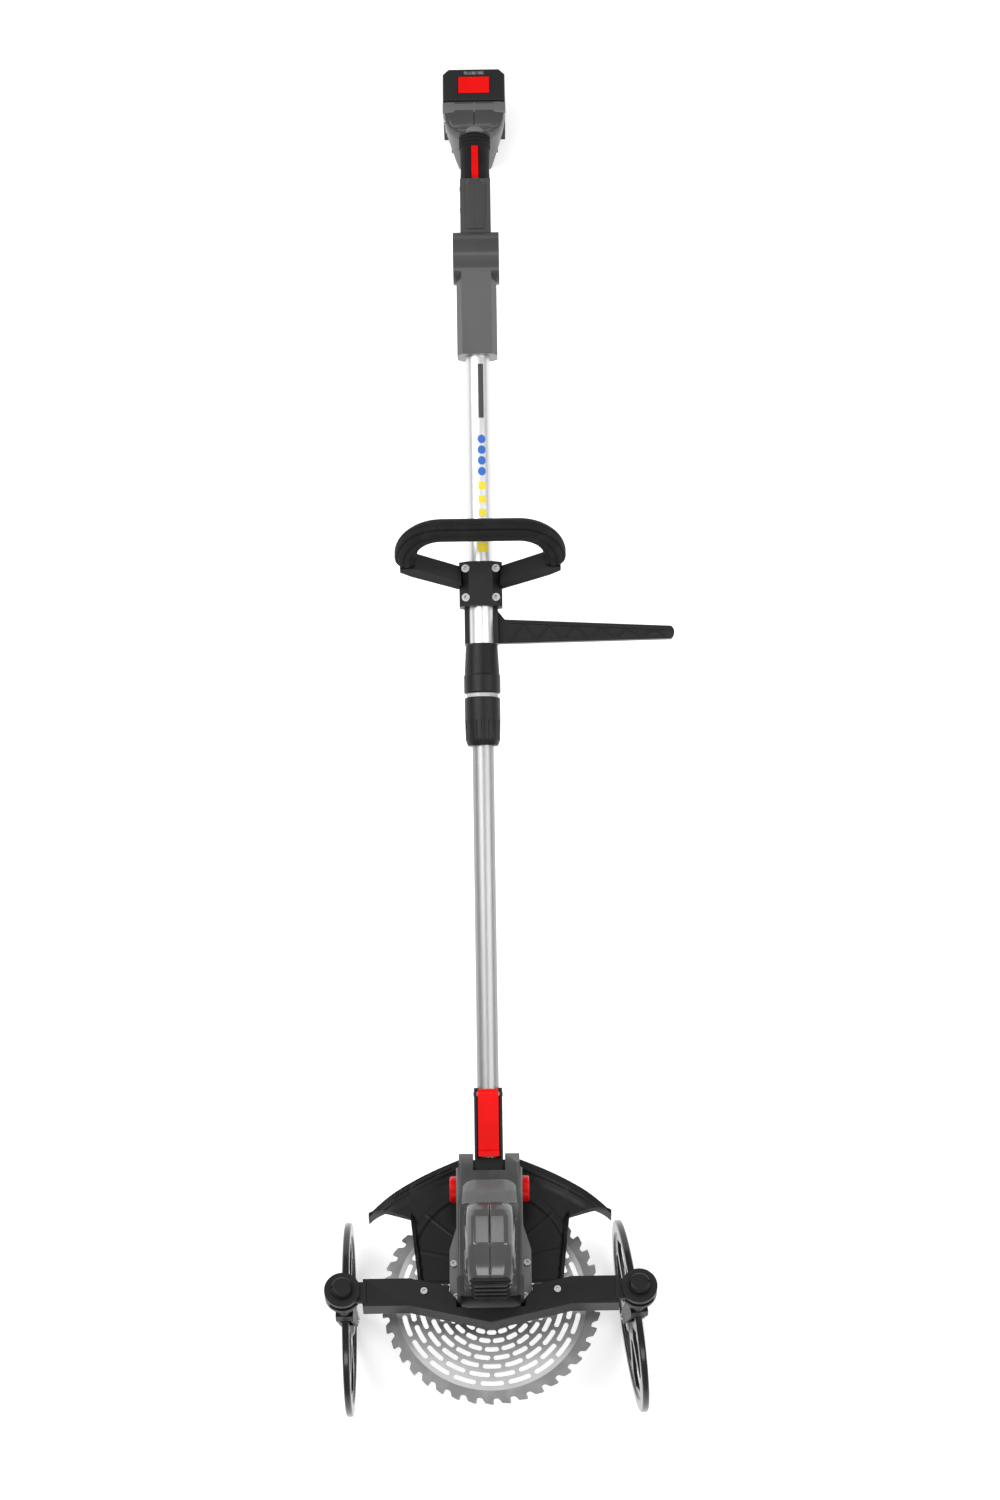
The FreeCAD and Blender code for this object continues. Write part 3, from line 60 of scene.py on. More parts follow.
class Value:
    """A socket's output, so that shader maths reads as a Python expression."""

    def __init__(self, shader, socket):
        self.shader = shader
        self.socket = socket

    def math(self, operation, other=None):
        inputs = {0: self} if other is None else {0: self, 1: other}
        return self.shader.node("Math", {"operation": operation}, inputs)

    def __add__(self, other):
        return self.math("ADD", other)

    __radd__ = __add__

    def __mul__(self, other):
        return self.math("MULTIPLY", other)

    __rmul__ = __mul__

    def __gt__(self, other):
        return self.math("GREATER_THAN", other)


def set_stops(ramp, stops):
    """Give a colour ramp its (position, grey level) stops."""
    while len(ramp.elements) < len(stops):
        ramp.elements.new(0.5)
    for element, (position, level) in zip(ramp.elements, stops):
        element.position = position
        element.color = shade(level)


def shade(level, tint=(1, 1, 1)):
    """A grey of this level, or a tinted one."""
    return (level * tint[0], level * tint[1], level * tint[2], 1)


class Shader:
    """One material and the nodes written into it."""

    def __init__(self, name):
        self.material = bpy.data.materials.new(name)
        self.material.use_nodes = True
        self.tree = self.material.node_tree
        self.surface = self.tree.nodes["Principled BSDF"]

    def node(self, kind, settings=None, inputs=None, output=0):
        """Make a node: its settings first, then the values or links of its sockets."""
        added = self.tree.nodes.new("ShaderNode" + kind)
        for name, setting in (settings or {}).items():
            if name == "stops":
                set_stops(added.color_ramp, setting)
            else:
                setattr(added, name, setting)
        for key, value in (inputs or {}).items():
            self.feed(added.inputs[key], value)
        return Value(self, added.outputs[output])

    def feed(self, socket, value):
        if isinstance(value, Value):
            self.tree.links.new(value.socket, socket)
        else:
            socket.default_value = value

    def place(self, stretch=(1, 1, 1)):
        """The object's own coordinates, stretched along each axis."""
        here = self.node("TexCoord", output="Object")
        return self.node("Mapping", inputs={"Vector": here, "Scale": stretch})

    def noise(self, scale, detail=3.0, stretch=(1, 1, 1)):
        return self.node("TexNoise", inputs={"Vector": self.place(stretch), "Scale": scale, "Detail": detail})

    def grain(self, scale):
        return self.node("TexVoronoi", inputs={"Vector": self.place(), "Scale": scale})

    def ramp(self, value, *stops):
        return self.node("ValToRGB", {"stops": stops}, {"Fac": value})

    def mix(self, share, first, second):
        """Blend two colours."""
        inputs = {MIX_SHARE: share, MIX_FIRST: first, MIX_SECOND: second}
        return self.node("Mix", {"data_type": "RGBA"}, inputs, MIX_COLOUR)

    def worn_edges(self, reach):
        """Near 1 on the outer edges of a piece and 0 on its faces."""
        pointy = self.node("NewGeometry", output="Pointiness")
        return self.ramp(pointy, (FLAT_POINTINESS, 0.0), (FLAT_POINTINESS + reach, 1.0))

    def bump(self, height, depth, distance=0.001):
        return self.node("Bump", inputs={"Height": height, "Strength": depth, "Distance": distance})

    def set(self, **sockets):
        """Feed the surface's sockets, named with _ for a space, and give the finished material."""
        for name, value in sockets.items():
            self.feed(self.surface.inputs[name.replace("_", " ")], value)
        return self.material


def moulded(name, level, rough, texture=0.18, grain_scale=1400, coat=0.0, tint=(1, 1, 1)):
    """Injection-moulded plastic: a fine spark-eroded grain, faint flow marks and paler rubbed edges."""
    s = Shader(name)
    flow = s.noise(9, 4, (1, 0.35, 1))
    dust = s.noise(160, 5)
    base = s.mix(s.ramp(flow, (0.35, 0.0), (0.7, 1.0)), shade(level * 0.86, tint), shade(level * 1.14, tint))
    base = s.mix(s.ramp(dust, (0.62, 0.0), (0.8, 0.35)), base, shade(level * 1.4 + 0.006, tint))
    base = s.mix(s.worn_edges(0.08) * 0.35, base, shade(level * 1.7 + 0.02, tint))
    fine = s.grain(grain_scale)
    roughness = rough - 0.06 + s.noise(45, 4) * 0.12
    normal = s.bump(fine, texture, 0.0002)
    return s.set(Base_Color=base, Roughness=roughness, Normal=normal, Coat_Weight=coat, Coat_Roughness=0.12,
                 Specular_IOR_Level=0.2)


def red_control(name):
    """Glossy saturated red with very fine handling scratches."""
    s = Shader(name)
    cloud = s.noise(30, 3)
    base = s.mix(s.ramp(cloud, (0.4, 0.0), (0.7, 1.0)), (0.62, 0.0, 0.0, 1), (0.76, 0.0, 0.0, 1))
    base = s.mix(s.worn_edges(0.1) * 0.3, base, (0.9, 0.02, 0.015, 1))
    scratches = s.noise(220, 6, (6, 0.4, 6))
    return s.set(Base_Color=base, Roughness=0.26 + scratches * 0.16, Normal=s.bump(scratches, 0.05, 0.0002),
                 Specular_IOR_Level=0.16)


def rubber(name, level):
    """Soft grip rubber: pebbled, dull, a little dusty in the hollows."""
    s = Shader(name)
    pebbles = s.grain(900)
    dust = s.noise(60, 6)
    base = s.mix(s.ramp(dust, (0.45, 0.0), (0.75, 1.0)), shade(level), shade(level * 1.8 + 0.004))
    return s.set(Base_Color=base, Roughness=0.62 + dust * 0.2, Normal=s.bump(pebbles, 0.45, 0.0003),
                 Specular_IOR_Level=0.22)


def drawn_tube(name, level, rough):
    """Drawn and anodised aluminium: draw lines along the tube and faint rub marks."""
    s = Shader(name)
    lines = s.noise(260, 5, (3.0, 0.04, 3.0))
    marks = s.noise(24, 5, (1, 0.6, 1))
    base = s.mix(s.ramp(lines, (0.35, 0.0), (0.7, 1.0)), shade(level * 0.93), shade(min(level * 1.05, 0.95)))
    base = s.mix(s.ramp(marks, (0.6, 0.0), (0.8, 0.3)), base, shade(level * 0.82))
    return s.set(Base_Color=base, Metallic=0.92, Roughness=rough + lines * 0.14 + marks * 0.06,
                 Normal=s.bump(lines, 0.10, 0.0002))


def turned_steel(name, level, rough):
    """Machined steel with tool marks and darker specks."""
    s = Shader(name)
    marks = s.noise(400, 4, (1, 1, 6))
    specks = s.noise(90, 6)
    base = s.mix(s.ramp(specks, (0.55, 0.0), (0.75, 0.5)), shade(level), shade(level * 0.6))
    return s.set(Base_Color=base, Metallic=1.0, Roughness=rough + marks * 0.15,
                 Normal=s.bump(marks, 0.08, 0.0002))


def blade_steel(name, centre, axis, rim_inner):
    """A ground disc: concentric polishing lines inside, a greyer matt rim with the teeth."""
    s = Shader(name)
    here = s.node("TexCoord", output="Object")
    turn = Vector(axis).rotation_difference(Vector((0, 0, 1))).to_euler()
    moved = s.node("VectorMath", {"operation": "SUBTRACT"}, {0: here, 1: centre})
    flat = s.node("VectorRotate", {"rotation_type": "EULER_XYZ"}, {"Vector": moved, "Rotation": turn})
    x = s.node("SeparateXYZ", inputs={"Vector": flat}, output="X")
    y = s.node("SeparateXYZ", inputs={"Vector": flat}, output="Y")
    radius = (x * x + y * y).math("SQRT")
    rings = s.node("TexNoise", {"noise_dimensions": "1D"}, {"W": radius * 2600, "Scale": 1.0, "Detail": 4.0})
    smear = s.noise(36, 5)
    rim = radius > rim_inner
    base = s.mix(s.ramp(rings, (0.3, 0.0), (0.7, 1.0)), shade(0.44), shade(0.58))
    base = s.mix(s.ramp(smear, (0.5, 0.0), (0.8, 0.35)), base, shade(0.36))
    base = s.mix(rim, base, s.mix(s.ramp(smear, (0.4, 0.0), (0.7, 1.0)), shade(0.24), shade(0.33)))
    roughness = 0.34 + rings * 0.14 + rim * 0.12
    return s.set(Base_Color=base, Metallic=0.88, Roughness=roughness, Normal=s.bump(rings, 0.10, 0.0002))


def smoked_window(name):
    """Dark glossy plastic with faint streaks."""
    s = Shader(name)
    cells = s.noise(500, 2, (1, 0.2, 1))
    base = s.mix(s.ramp(cells, (0.45, 0.0), (0.55, 1.0)), shade(0.05), shade(0.16))
    return s.set(Base_Color=base, Roughness=0.08 + cells * 0.06, Coat_Weight=0.6)


def decal(name, colour):
    """Printed film: flat ink with a slight mottle."""
    s = Shader(name)
    mottle = s.noise(420, 4)
    darker = (*(channel * 0.7 for channel in colour[:3]), 1)
    base = s.mix(s.ramp(mottle, (0.4, 0.0), (0.7, 0.25)), colour, darker)
    return s.set(Base_Color=base, Roughness=0.3 + mottle * 0.1, Normal=s.bump(mottle, 0.03, 0.0001))


def winding(name):
    """Copper wire laid in rows."""
    s = Shader(name)
    wire = s.node("TexWave", {"wave_type": "BANDS"}, {"Vector": s.place(), "Scale": 260.0, "Distortion": 0.4})
    base = s.mix(wire, (0.30, 0.11, 0.04, 1), (0.78, 0.36, 0.15, 1))
    return s.set(Base_Color=base, Metallic=0.8, Roughness=0.3, Normal=s.bump(wire, 0.5, 0.0004))


def circuit_board(name):
    """Green board with tracks."""
    s = Shader(name)
    tracks = s.node("TexBrick", {}, {"Vector": s.place(), "Scale": 180.0, "Mortar Size": 0.03}, output=1)
    base = s.mix(tracks, (0.01, 0.11, 0.04, 1), (0.10, 0.32, 0.12, 1))
    return s.set(Base_Color=base, Roughness=0.35 + s.noise(60) * 0.1, Normal=s.bump(tracks, 0.2, 0.0002))


blade_hinge = JOINTS["blade_spin"]
BLADE_RIM_INNER = 0.111

# moulded: name, level, roughness, grain depth, grain scale, coat, tint.
# drawn_tube and turned_steel: name, level, roughness.
FINISHES = {
    "housing_grey": moulded("housing_grey", 0.046, 0.34, 0.06, 1500, 0.25),
    "dome_grey": moulded("dome_grey", 0.055, 0.16, 0.02, 1500, 0.7),
    "charcoal_plastic": moulded("charcoal_plastic", 0.0075, 0.40, 0.22, 1300),
    "black_rubber": rubber("black_rubber", 0.005),
    "red_plastic": red_control("red_plastic"),
    "bright_tube": drawn_tube("bright_tube", 0.66, 0.28),
    "grey_tube": drawn_tube("grey_tube", 0.34, 0.32),
    "band_grey": moulded("band_grey", 0.12, 0.32, 0.05, 1500, 0.25),
    "steel": turned_steel("steel", 0.55, 0.22),
    "blade_steel": blade_steel("blade_steel", blade_hinge["pos_m"], blade_hinge["axis"],
                               BLADE_RIM_INNER),
    "screw_steel": turned_steel("screw_steel", 0.42, 0.28),
    "carbide": turned_steel("carbide", 0.30, 0.30),
    "wheel_black": moulded("wheel_black", 0.007, 0.22, 0.05, 900, 0.4),
    "battery_grey": moulded("battery_grey", 0.016, 0.40, 0.20, 1400),
    "window_smoke": smoked_window("window_smoke"),
    "cell_wrap": moulded("cell_wrap", 0.25, 0.25, 0.02, 900, 0.3, (0.2, 0.6, 1.0)),
    "copper": winding("copper"),
    "board_green": circuit_board("board_green"),
    "seal_white": rubber("seal_white", 0.42),
    "lead_black": rubber("lead_black", 0.02),
    "stripe_ink": decal("stripe_ink", (0.045, 0.047, 0.05, 1)),
    "blue_ink": decal("blue_ink", (0.02, 0.13, 0.52, 1)),
    "yellow_ink": decal("yellow_ink", (0.80, 0.62, 0.02, 1)),
}
for node, obj in frame["nodes"].items():
    for material_slot in obj.material_slots:
        material_slot.material = FINISHES[NODE_SLOT[node]]


# ---------------------------------------------------------------- pieces

# Points nearer than WELD millimetres are joined, and faces within FLAT_ANGLE degrees are one face.
WELD = 0.02
FLAT_ANGLE = 0.6
MOULDED_EDGE = 34

def finished(piece, body, material, *nodes, slot=None):
    """Material, body and replaced nodes of a piece made here."""
    piece.data.materials.clear()
    piece.data.materials.append(FINISHES[material])
    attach(piece, body)
    if nodes:
        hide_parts(*nodes)


def smooth(mesh, angle=32):
    """Round shading, with sharp edges only where faces meet at more than this angle in degrees."""
    for polygon in mesh.polygons:
        polygon.use_smooth = True
    mesh.set_sharp_from_angle(angle=math.radians(angle))


def rounded(piece, width, segments=2, angle=30):
    """Round the edges of a piece that are steeper than this angle in degrees, by a width in millimetres."""
    bevel = piece.modifiers.new("rounding", "BEVEL")
    bevel.width = width * MM
    bevel.segments = segments
    bevel.limit_method = "ANGLE"
    bevel.angle_limit = math.radians(angle)
    normals = piece.modifiers.new("shading", "WEIGHTED_NORMAL")
    normals.keep_sharp = True
    return piece


def softened(node, width):
    """A node's own shape with every moulded edge rounded over."""
    source = frame["nodes"][node]
    mesh = source.data.copy()
    mesh.name = node + "_soft"
    mesh.transform(source.matrix_world)
    build = bmesh.new()
    build.from_mesh(mesh)
    bmesh.ops.remove_doubles(build, verts=build.verts, dist=WELD * MM)
    bmesh.ops.dissolve_limit(build, angle_limit=math.radians(FLAT_ANGLE), verts=build.verts,
                             edges=build.edges)
    build.to_mesh(mesh)
    build.free()
    piece = bpy.data.objects.new(node + "_soft", mesh)
    bpy.context.collection.objects.link(piece)
    smooth(mesh)
    finished(rounded(piece, width, 3, MOULDED_EDGE), BODY_OF[node], NODE_SLOT[node], node)


# Rounding of each node's edges, in millimetres.
ROUNDED = {
    "tube_socket": 2.6, "battery_case": 1.2,
    "battery_release_button": 0.7, "lock_off_lever": 0.8, "trigger": 1.4, "neck_channel": 0.8,
    "clamp_lever": 1.1, "pivot_block": 1.0, "barrier_bar": 2.0, "cross_beam": 2.2, "base_flange": 1.0,
    "vent_grille": 0.8, "caster_fork_left": 1.2, "caster_fork_right": 1.2, "caster_knob_left": 0.8,
    "caster_knob_right": 0.8, "collar_nut": 0.6, "lock_sleeve": 0.6, "seal_ring": 0.4, "d_handle": 1.4,
    "tilt_button_left": 0.6, "tilt_button_right": 0.6, "wheel_left": 0.8, "wheel_right": 0.8,
    "clamp_bolts": 0.3, "base_screws": 0.25,
}
for node, width in ROUNDED.items():
    softened(node, width)


# Local frames, in millimetres: X across, Y backwards along the part, Z up from it.

def local_frame(origin, along, up):
    """A frame whose Y runs along the part and whose Z points up from it."""
    across = along.cross(up)
    turn = Matrix((across, along, up)).transposed().to_4x4()
    return Matrix.Translation(origin) @ turn @ Matrix.Scale(MM, 4)


RIGHT = Vector((1, 0, 0))
hinge_place = Vector(JOINTS["head_tilt"]["pos_m"])
head_up = -Vector(JOINTS["blade_spin"]["axis"])
shaft_back = Vector(JOINTS["telescope"]["axis"])
grip_up = Vector(JOINTS["battery_slide"]["axis"])
BLADE_DROP = 89         # from the motor's frame down to the blade
LOCK_PIVOT = (102, 8)   # the lock-off lever's pivot in the grip's frame: along, up
HEAD = local_frame(hinge_place, head_up.cross(RIGHT), head_up)
MOTOR = local_frame(Vector(blade_hinge["pos_m"]) + head_up * BLADE_DROP * MM, head_up.cross(RIGHT), head_up)
SHAFT = local_frame(hinge_place, shaft_back, RIGHT.cross(shaft_back))
grip_back = grip_up.cross(RIGHT)
grip_place = (Vector(JOINTS["lock_off_press"]["pos_m"])
              - (grip_back * LOCK_PIVOT[0] + grip_up * LOCK_PIVOT[1]) * MM)
GRIP = local_frame(grip_place, grip_back, grip_up)


def made(name, build, place, sharp=32):
    """An object from a bmesh drawn in a local frame, with its normals outward."""
    bmesh.ops.transform(build, matrix=place, verts=build.verts)
    bmesh.ops.recalc_face_normals(build, faces=build.faces)
    mesh = bpy.data.meshes.new(name)
    build.to_mesh(mesh)
    build.free()
    smooth(mesh, sharp)
    piece = bpy.data.objects.new(name, mesh)
    bpy.context.collection.objects.link(piece)
    return piece


def trimmed_shell(node, place, plane_place, plane_way):
    """A node's mesh in a local frame, cut by a plane that keeps the side away from plane_way."""
    source = frame["nodes"][node]
    build = bmesh.new()
    build.from_mesh(source.data)
    bmesh.ops.transform(build, matrix=place.inverted() @ source.matrix_world, verts=build.verts)
    bmesh.ops.remove_doubles(build, verts=build.verts, dist=WELD)
    everything = build.verts[:] + build.edges[:] + build.faces[:]
    trimmed = bmesh.ops.bisect_plane(build, geom=everything, plane_co=plane_place, plane_no=plane_way,
                                     clear_outer=True)
    rim = [item for item in trimmed["geom_cut"] if isinstance(item, bmesh.types.BMEdge)]
    bmesh.ops.triangle_fill(build, edges=rim, use_beauty=True)
    bmesh.ops.dissolve_limit(build, angle_limit=math.radians(1), verts=build.verts, edges=build.edges)
    return build


def circle(radius, station, around, level=0):
    """Points of a circle that stands across a local frame's Y."""
    turns = [2 * math.pi * i / around for i in range(around)]
    return [(radius * math.sin(turn), station, level + radius * math.cos(turn)) for turn in turns]


def lofted(build, rings, closed=True, caps=True):
    """Skin a row of rings that have the same number of points."""
    rows = [[build.verts.new(point) for point in ring] for ring in rings]
    count = len(rows[0])
    for near, far in zip(rows, rows[1:]):
        for i in range(count if closed else count - 1):
            j = (i + 1) % count
            build.faces.new((near[i], near[j], far[j], far[i]))
    if caps:
        build.faces.new(rows[0])
        build.faces.new(list(reversed(rows[-1])))
    return rows


def sheet(build, rows, thickness):
    """A curved plate: a grid of top points and the same grid lower by its thickness."""
    top = [[build.verts.new(point) for point in row] for row in rows]
    low = [[build.verts.new((x, y, z - thickness)) for x, y, z in row] for row in rows]
    last_row = len(rows) - 1
    last = len(rows[0]) - 1
    for r in range(last_row):
        for c in range(last):
            build.faces.new((top[r][c], top[r][c + 1], top[r + 1][c + 1], top[r + 1][c]))
            build.faces.new((low[r][c], low[r + 1][c], low[r + 1][c + 1], low[r][c + 1]))
    for r in range(last_row):
        build.faces.new((top[r][0], top[r + 1][0], low[r + 1][0], low[r][0]))
        build.faces.new((top[r][last], low[r][last], low[r + 1][last], top[r + 1][last]))
    for c in range(last):
        build.faces.new((top[0][c], low[0][c], low[0][c + 1], top[0][c + 1]))
        build.faces.new((top[last_row][c], top[last_row][c + 1], low[last_row][c + 1], low[last_row][c]))


def eased(table, at):
    """Read a (position, value) table smoothly."""
    for (start, low), (end, high) in zip(table, table[1:]):
        if at <= end:
            share = min(max((at - start) / (end - start), 0), 1)
            return low + (high - low) * share * share * (3 - 2 * share)
    return table[-1][1]


def straight(table, at):
    """Read a (position, value) table in straight lines."""
    for (start, low), (end, high) in zip(table, table[1:]):
        if at <= end:
            return low + (high - low) * min(max((at - start) / (end - start), 0), 1)
    return table[-1][1]


# ---------------------------------------------------------------- motor head

SEAM = 0.15             # half the gap between the two halves of a casing
# The plane above the hood that cuts the housing off under its cover: a point on it, and its slope.
CUT_ALONG = -38
CUT_UP = 45.6
CUT_SLOPE = 0.15
DOME_HALF = 31
DOME_FLOOR = 12
DOME_BASE = 20          # the shoulder's drop goes with the cover's height above this
DOME_HEIGHT = 64
# The cover's stations along the head: along, half width, top.
DOME_STATIONS = [(-37, 24, 50), (-39, 27, 57), (-43, 29, 66), (-50, 30.5, 75), (-58, 31, 80.5),
                 (-66, 31, 83.2), (-84, 31, 83.5), (-100, 31, 83.2), (-108, 31, 79.5), (-116, 30.5, 74),
                 (-124, 29, 67), (-130, 26.5, 60.5), (-133.5, 23, 54)]
# The cover's cross-section at its widest and highest: from the seam, below the top.
DOME_SHOULDER = [(SEAM, 0), (8, 0), (17, 0.2), (20.5, 2.2), (24.5, 7), (27.5, 13.5), (29.5, 22),
                 (DOME_HALF, 34)]


def housing_half(side, sign):
    """Half the motor housing: the CAD shell below and a glossy domed cover over the motor."""
    node = "motor_housing_" + side
    build = trimmed_shell(node, HEAD, (0, CUT_ALONG, CUT_UP), (0, -CUT_SLOPE, 1))
    shell = rounded(made(node + "_shell", build, HEAD), 0.8)
    finished(shell, "head", "housing_grey", node)

    build = bmesh.new()
    rings = []
    for station, width, top in DOME_STATIONS:
        share = width / DOME_HALF
        ring = [(sign * max(x * share, SEAM), station, top - drop * (top - DOME_BASE) / DOME_HEIGHT)
                for x, drop in DOME_SHOULDER]
        ring += [(sign * width, station, DOME_FLOOR), (sign * SEAM, station, DOME_FLOOR)]
        rings.append(ring)
    lofted(build, rings)
    dome = rounded(made("motor_cover_" + side, build, HEAD, 50), 1.6, 3, 14)
    finished(dome, "head", "dome_grey", slot="housing_grey")


def hood_band():
    """The paler band that crosses the hood between the ears and the cover."""
    slope = [(-37, 47.6), (-20, 43.2), (-3, 32.6), (0, 31)]
    half_widths = [(-37, 31.5), (-12, 30.5), (-5, 27.5), (-1.5, 20)]
    rear, length = -37, 35.5
    rolled_edge, edge_drop, seam_groove = 0.14, 1.6, 0.5
    build = bmesh.new()
    rows = []
    steps = 14
    half_columns = 12
    for r in range(steps + 1):
        station = rear + length * r / steps
        width = eased(half_widths, station)
        row = []
        for c in range(-half_columns, half_columns + 1):
            share = c / half_columns
            edge = max(abs(share) - (1 - rolled_edge), 0) / rolled_edge
            row.append((share * width, station, straight(slope, station) - edge_drop * edge ** 2
                        - (seam_groove if c == 0 else 0)))
        rows.append(row)
    sheet(build, rows, 3.2)
    finished(rounded(made("hood_band", build, HEAD), 0.5), "head", "band_grey", slot="housing_grey")


# ---------------------------------------------------------------- guard

# Places in the motor's frame.  The deck's straight sides run from SIDE_FRONT to SIDE_REAR across it
# and over SIDE_LENGTH along it; the wings then reach out to TIP.
GUARD_SIDE_FRONT = 83
GUARD_SIDE_REAR = 92
GUARD_SIDE_LENGTH = 81
GUARD_TIP = 141
GUARD_NECK = 36
GUARD_TOP = -33
GUARD_FRONT = -1.0
GUARD_REAR = 150
GUARD_SWEEP = 61        # how far forward the rear edge runs from the neck to a tip
GUARD_BOW = 5
GUARD_ARC_CENTRE = 22   # along the head, for the pressed arcs and the radial ribs
GUARD_RIBS = (12, 40)
GUARD_TURNED_TIP = 104  # outside this the wings turn down
GUARD_SINK = 1.5        # the skirts start this far inside the deck


def guard_rear_edge(x):
    """The rear edge's place along the head, a little bowed."""
    reach = max(abs(x) - GUARD_NECK, 0) / (GUARD_TIP - GUARD_NECK)
    return GUARD_REAR - GUARD_SWEEP * reach + GUARD_BOW * math.sin(math.pi * min(reach, 1))


def guard_front_edge(x):
    """The front edge's place along the head: straight, back along a side, then along a hooked wing."""
    x = abs(x)
    if x <= GUARD_SIDE_FRONT:
        return GUARD_FRONT
    if x <= GUARD_SIDE_REAR:
        return GUARD_FRONT + GUARD_SIDE_LENGTH * (x - GUARD_SIDE_FRONT) / (GUARD_SIDE_REAR - GUARD_SIDE_FRONT)
    reach = (x - GUARD_SIDE_REAR) / (GUARD_TIP - GUARD_SIDE_REAR)
    return GUARD_FRONT + GUARD_SIDE_LENGTH + 11 * math.sin(math.pi * reach * 0.62)


def guard_height(x, y):
    """The dished deck: raised rims, two curved steps and radial ribs, with the wing tips turned down."""
    rear = guard_rear_edge(x) - y
    inner = y - GUARD_FRONT
    flare = (GUARD_SIDE_REAR - GUARD_SIDE_FRONT) / GUARD_SIDE_LENGTH
    beside = y < GUARD_FRONT + GUARD_SIDE_LENGTH
    side = max(GUARD_SIDE_FRONT + inner * flare - abs(x), 0) if beside else math.inf
    dish = eased([(0, 3.0), (9, 3.0), (15, 0.4), (24, -1.6), (60, -2.2)], rear)
    dish += eased([(0, 3.4), (3.5, 3.4), (6.5, 0.0)], side)
    dish += eased([(0, 1.0), (4, 0)], inner)
    radius = math.hypot(x, y - GUARD_ARC_CENTRE)
    dish += eased([(0, 0), (88, 0), (90, 1.6), (97, 1.6), (99, 0), (112, 0)], radius) if rear > 26 else 0
    angle = math.degrees(math.atan2(y - GUARD_ARC_CENTRE, abs(x)))
    for rib in GUARD_RIBS:
        dish += 1.0 * max(0, 1 - abs(angle - rib) / 1.1) if 45 < radius < 96 else 0
    dish -= 15 * (max(abs(x) - GUARD_TURNED_TIP, 0) / (GUARD_TIP - GUARD_TURNED_TIP)) ** 2
    return GUARD_TOP - 1.6 + dish


def wall(build, places, thickness):
    """A skirt under the deck: a row of (across, along, top, bottom) skinned to a thickness along the head."""
    lofted(build, [[(x, y, top), (x, y + thickness, top), (x, y + thickness, low), (x, y, low)]
                   for x, y, top, low in places])


def blade_guard():
    """The pressed deck, its rear skirt and a short skirt under the front of each wing."""
    build = bmesh.new()
    pitch = 1.5
    columns = sorted({round(-GUARD_TIP + pitch * i, 2) for i in range(int(GUARD_TIP * 2 / pitch) + 1)}
                     | {-GUARD_SIDE_REAR, -GUARD_SIDE_FRONT, GUARD_SIDE_FRONT, GUARD_SIDE_REAR})
    rows = []
    steps = 90
    for r in range(steps + 1):
        row = []
        for x in columns:
            rear = guard_rear_edge(x)
            y = rear + (guard_front_edge(x) - rear) * r / steps
            row.append((x, y, guard_height(x, y)))
        rows.append(row)
    sheet(build, rows, 2.6)
    places = []
    for x in columns[::3] + [columns[-1]]:
        y = guard_rear_edge(x)
        top = guard_height(x, y) - GUARD_SINK
        places.append((x, y, top, top - eased([(0, 58), (100, 50), (GUARD_TIP, 20)], abs(x))))
    wall(build, places, -2.8)
    for sign in (-1, 1):
        places = []
        for step in range(13):
            x = sign * (GUARD_SIDE_REAR + (GUARD_TIP - GUARD_SIDE_REAR) * step / 12)
            y = guard_front_edge(x)
            top = guard_height(x, y) - GUARD_SINK
            places.append((x, y, top, top - 9 * math.sin(math.pi * (0.15 + 0.8 * step / 12))))
        wall(build, places, 2.4)
    finished(made("guard_deck", build, MOTOR, 40), "head", "charcoal_plastic", "blade_guard")


def guard_ridge():
    """The stepped ridge and its three blocks along the left rear edge."""
    build = bmesh.new()
    for start, end in ((-92, -62), (-60, -44), (-98.5, -94), (-105, -100.5), (-111, -107)):
        rings = []
        for step in range(9):
            x = start + (end - start) * step / 8
            y = guard_rear_edge(x) - 5.5
            z = guard_height(x, y) - 0.6
            ends = 0.2 if step in (0, 8) else 1
            crest = z + 2.4 * ends
            rings.append([(x, y - 2.6, z), (x, y - 1.6, crest), (x, y + 1.6, crest), (x, y + 2.6, z)])
        lofted(build, rings)
    finished(rounded(made("guard_ridge", build, MOTOR), 0.4), "head", "charcoal_plastic")


# ---------------------------------------------------------------- saw tips

def saw_tips():
    """A brazed carbide plate on the leading face of each tooth."""
    build = bmesh.new()
    teeth = 40
    tip_radius, tip_depth, half_thick = 127.2, 5.2, 1.45
    behind, ahead = -1.1, 0.9
    seat_turn, hook = 0.006, 0.012
    for index in range(teeth):
        turn = -2 * math.pi * index / teeth + seat_turn
        out = Vector((math.cos(turn), math.sin(turn), 0))
        lead = Vector((-math.sin(turn), math.cos(turn), 0))
        rings = []
        for depth in (0, tip_depth):
            centre = out * (tip_radius - depth) + lead * (hook * depth)
            corners = []
            for across, up in ((behind, -half_thick), (ahead, -half_thick), (ahead, half_thick),
                               (behind, half_thick)):
                corners.append(centre + lead * across + Vector((0, 0, -BLADE_DROP + up)))
            rings.append(corners)
        lofted(build, rings)
    finished(rounded(made("carbide_tips", build, MOTOR), 0.25), "cutter", "carbide", slot="blade_steel")


# ---------------------------------------------------------------- front handle

LOOP_MIDDLE = 700       # along the shaft
LOOP_LEAN = 32          # degrees back from upright
LOOP_HALF = 86
LOOP_TOP = 100
LOOP_FOOT = 46
LOOP_CORNER = 42
LEG_PITCH = 4           # between the rings of a straight leg
LEG_RINGS = 4
GRIP_RADIUS = 13.2
GRIP_GROOVES = 9


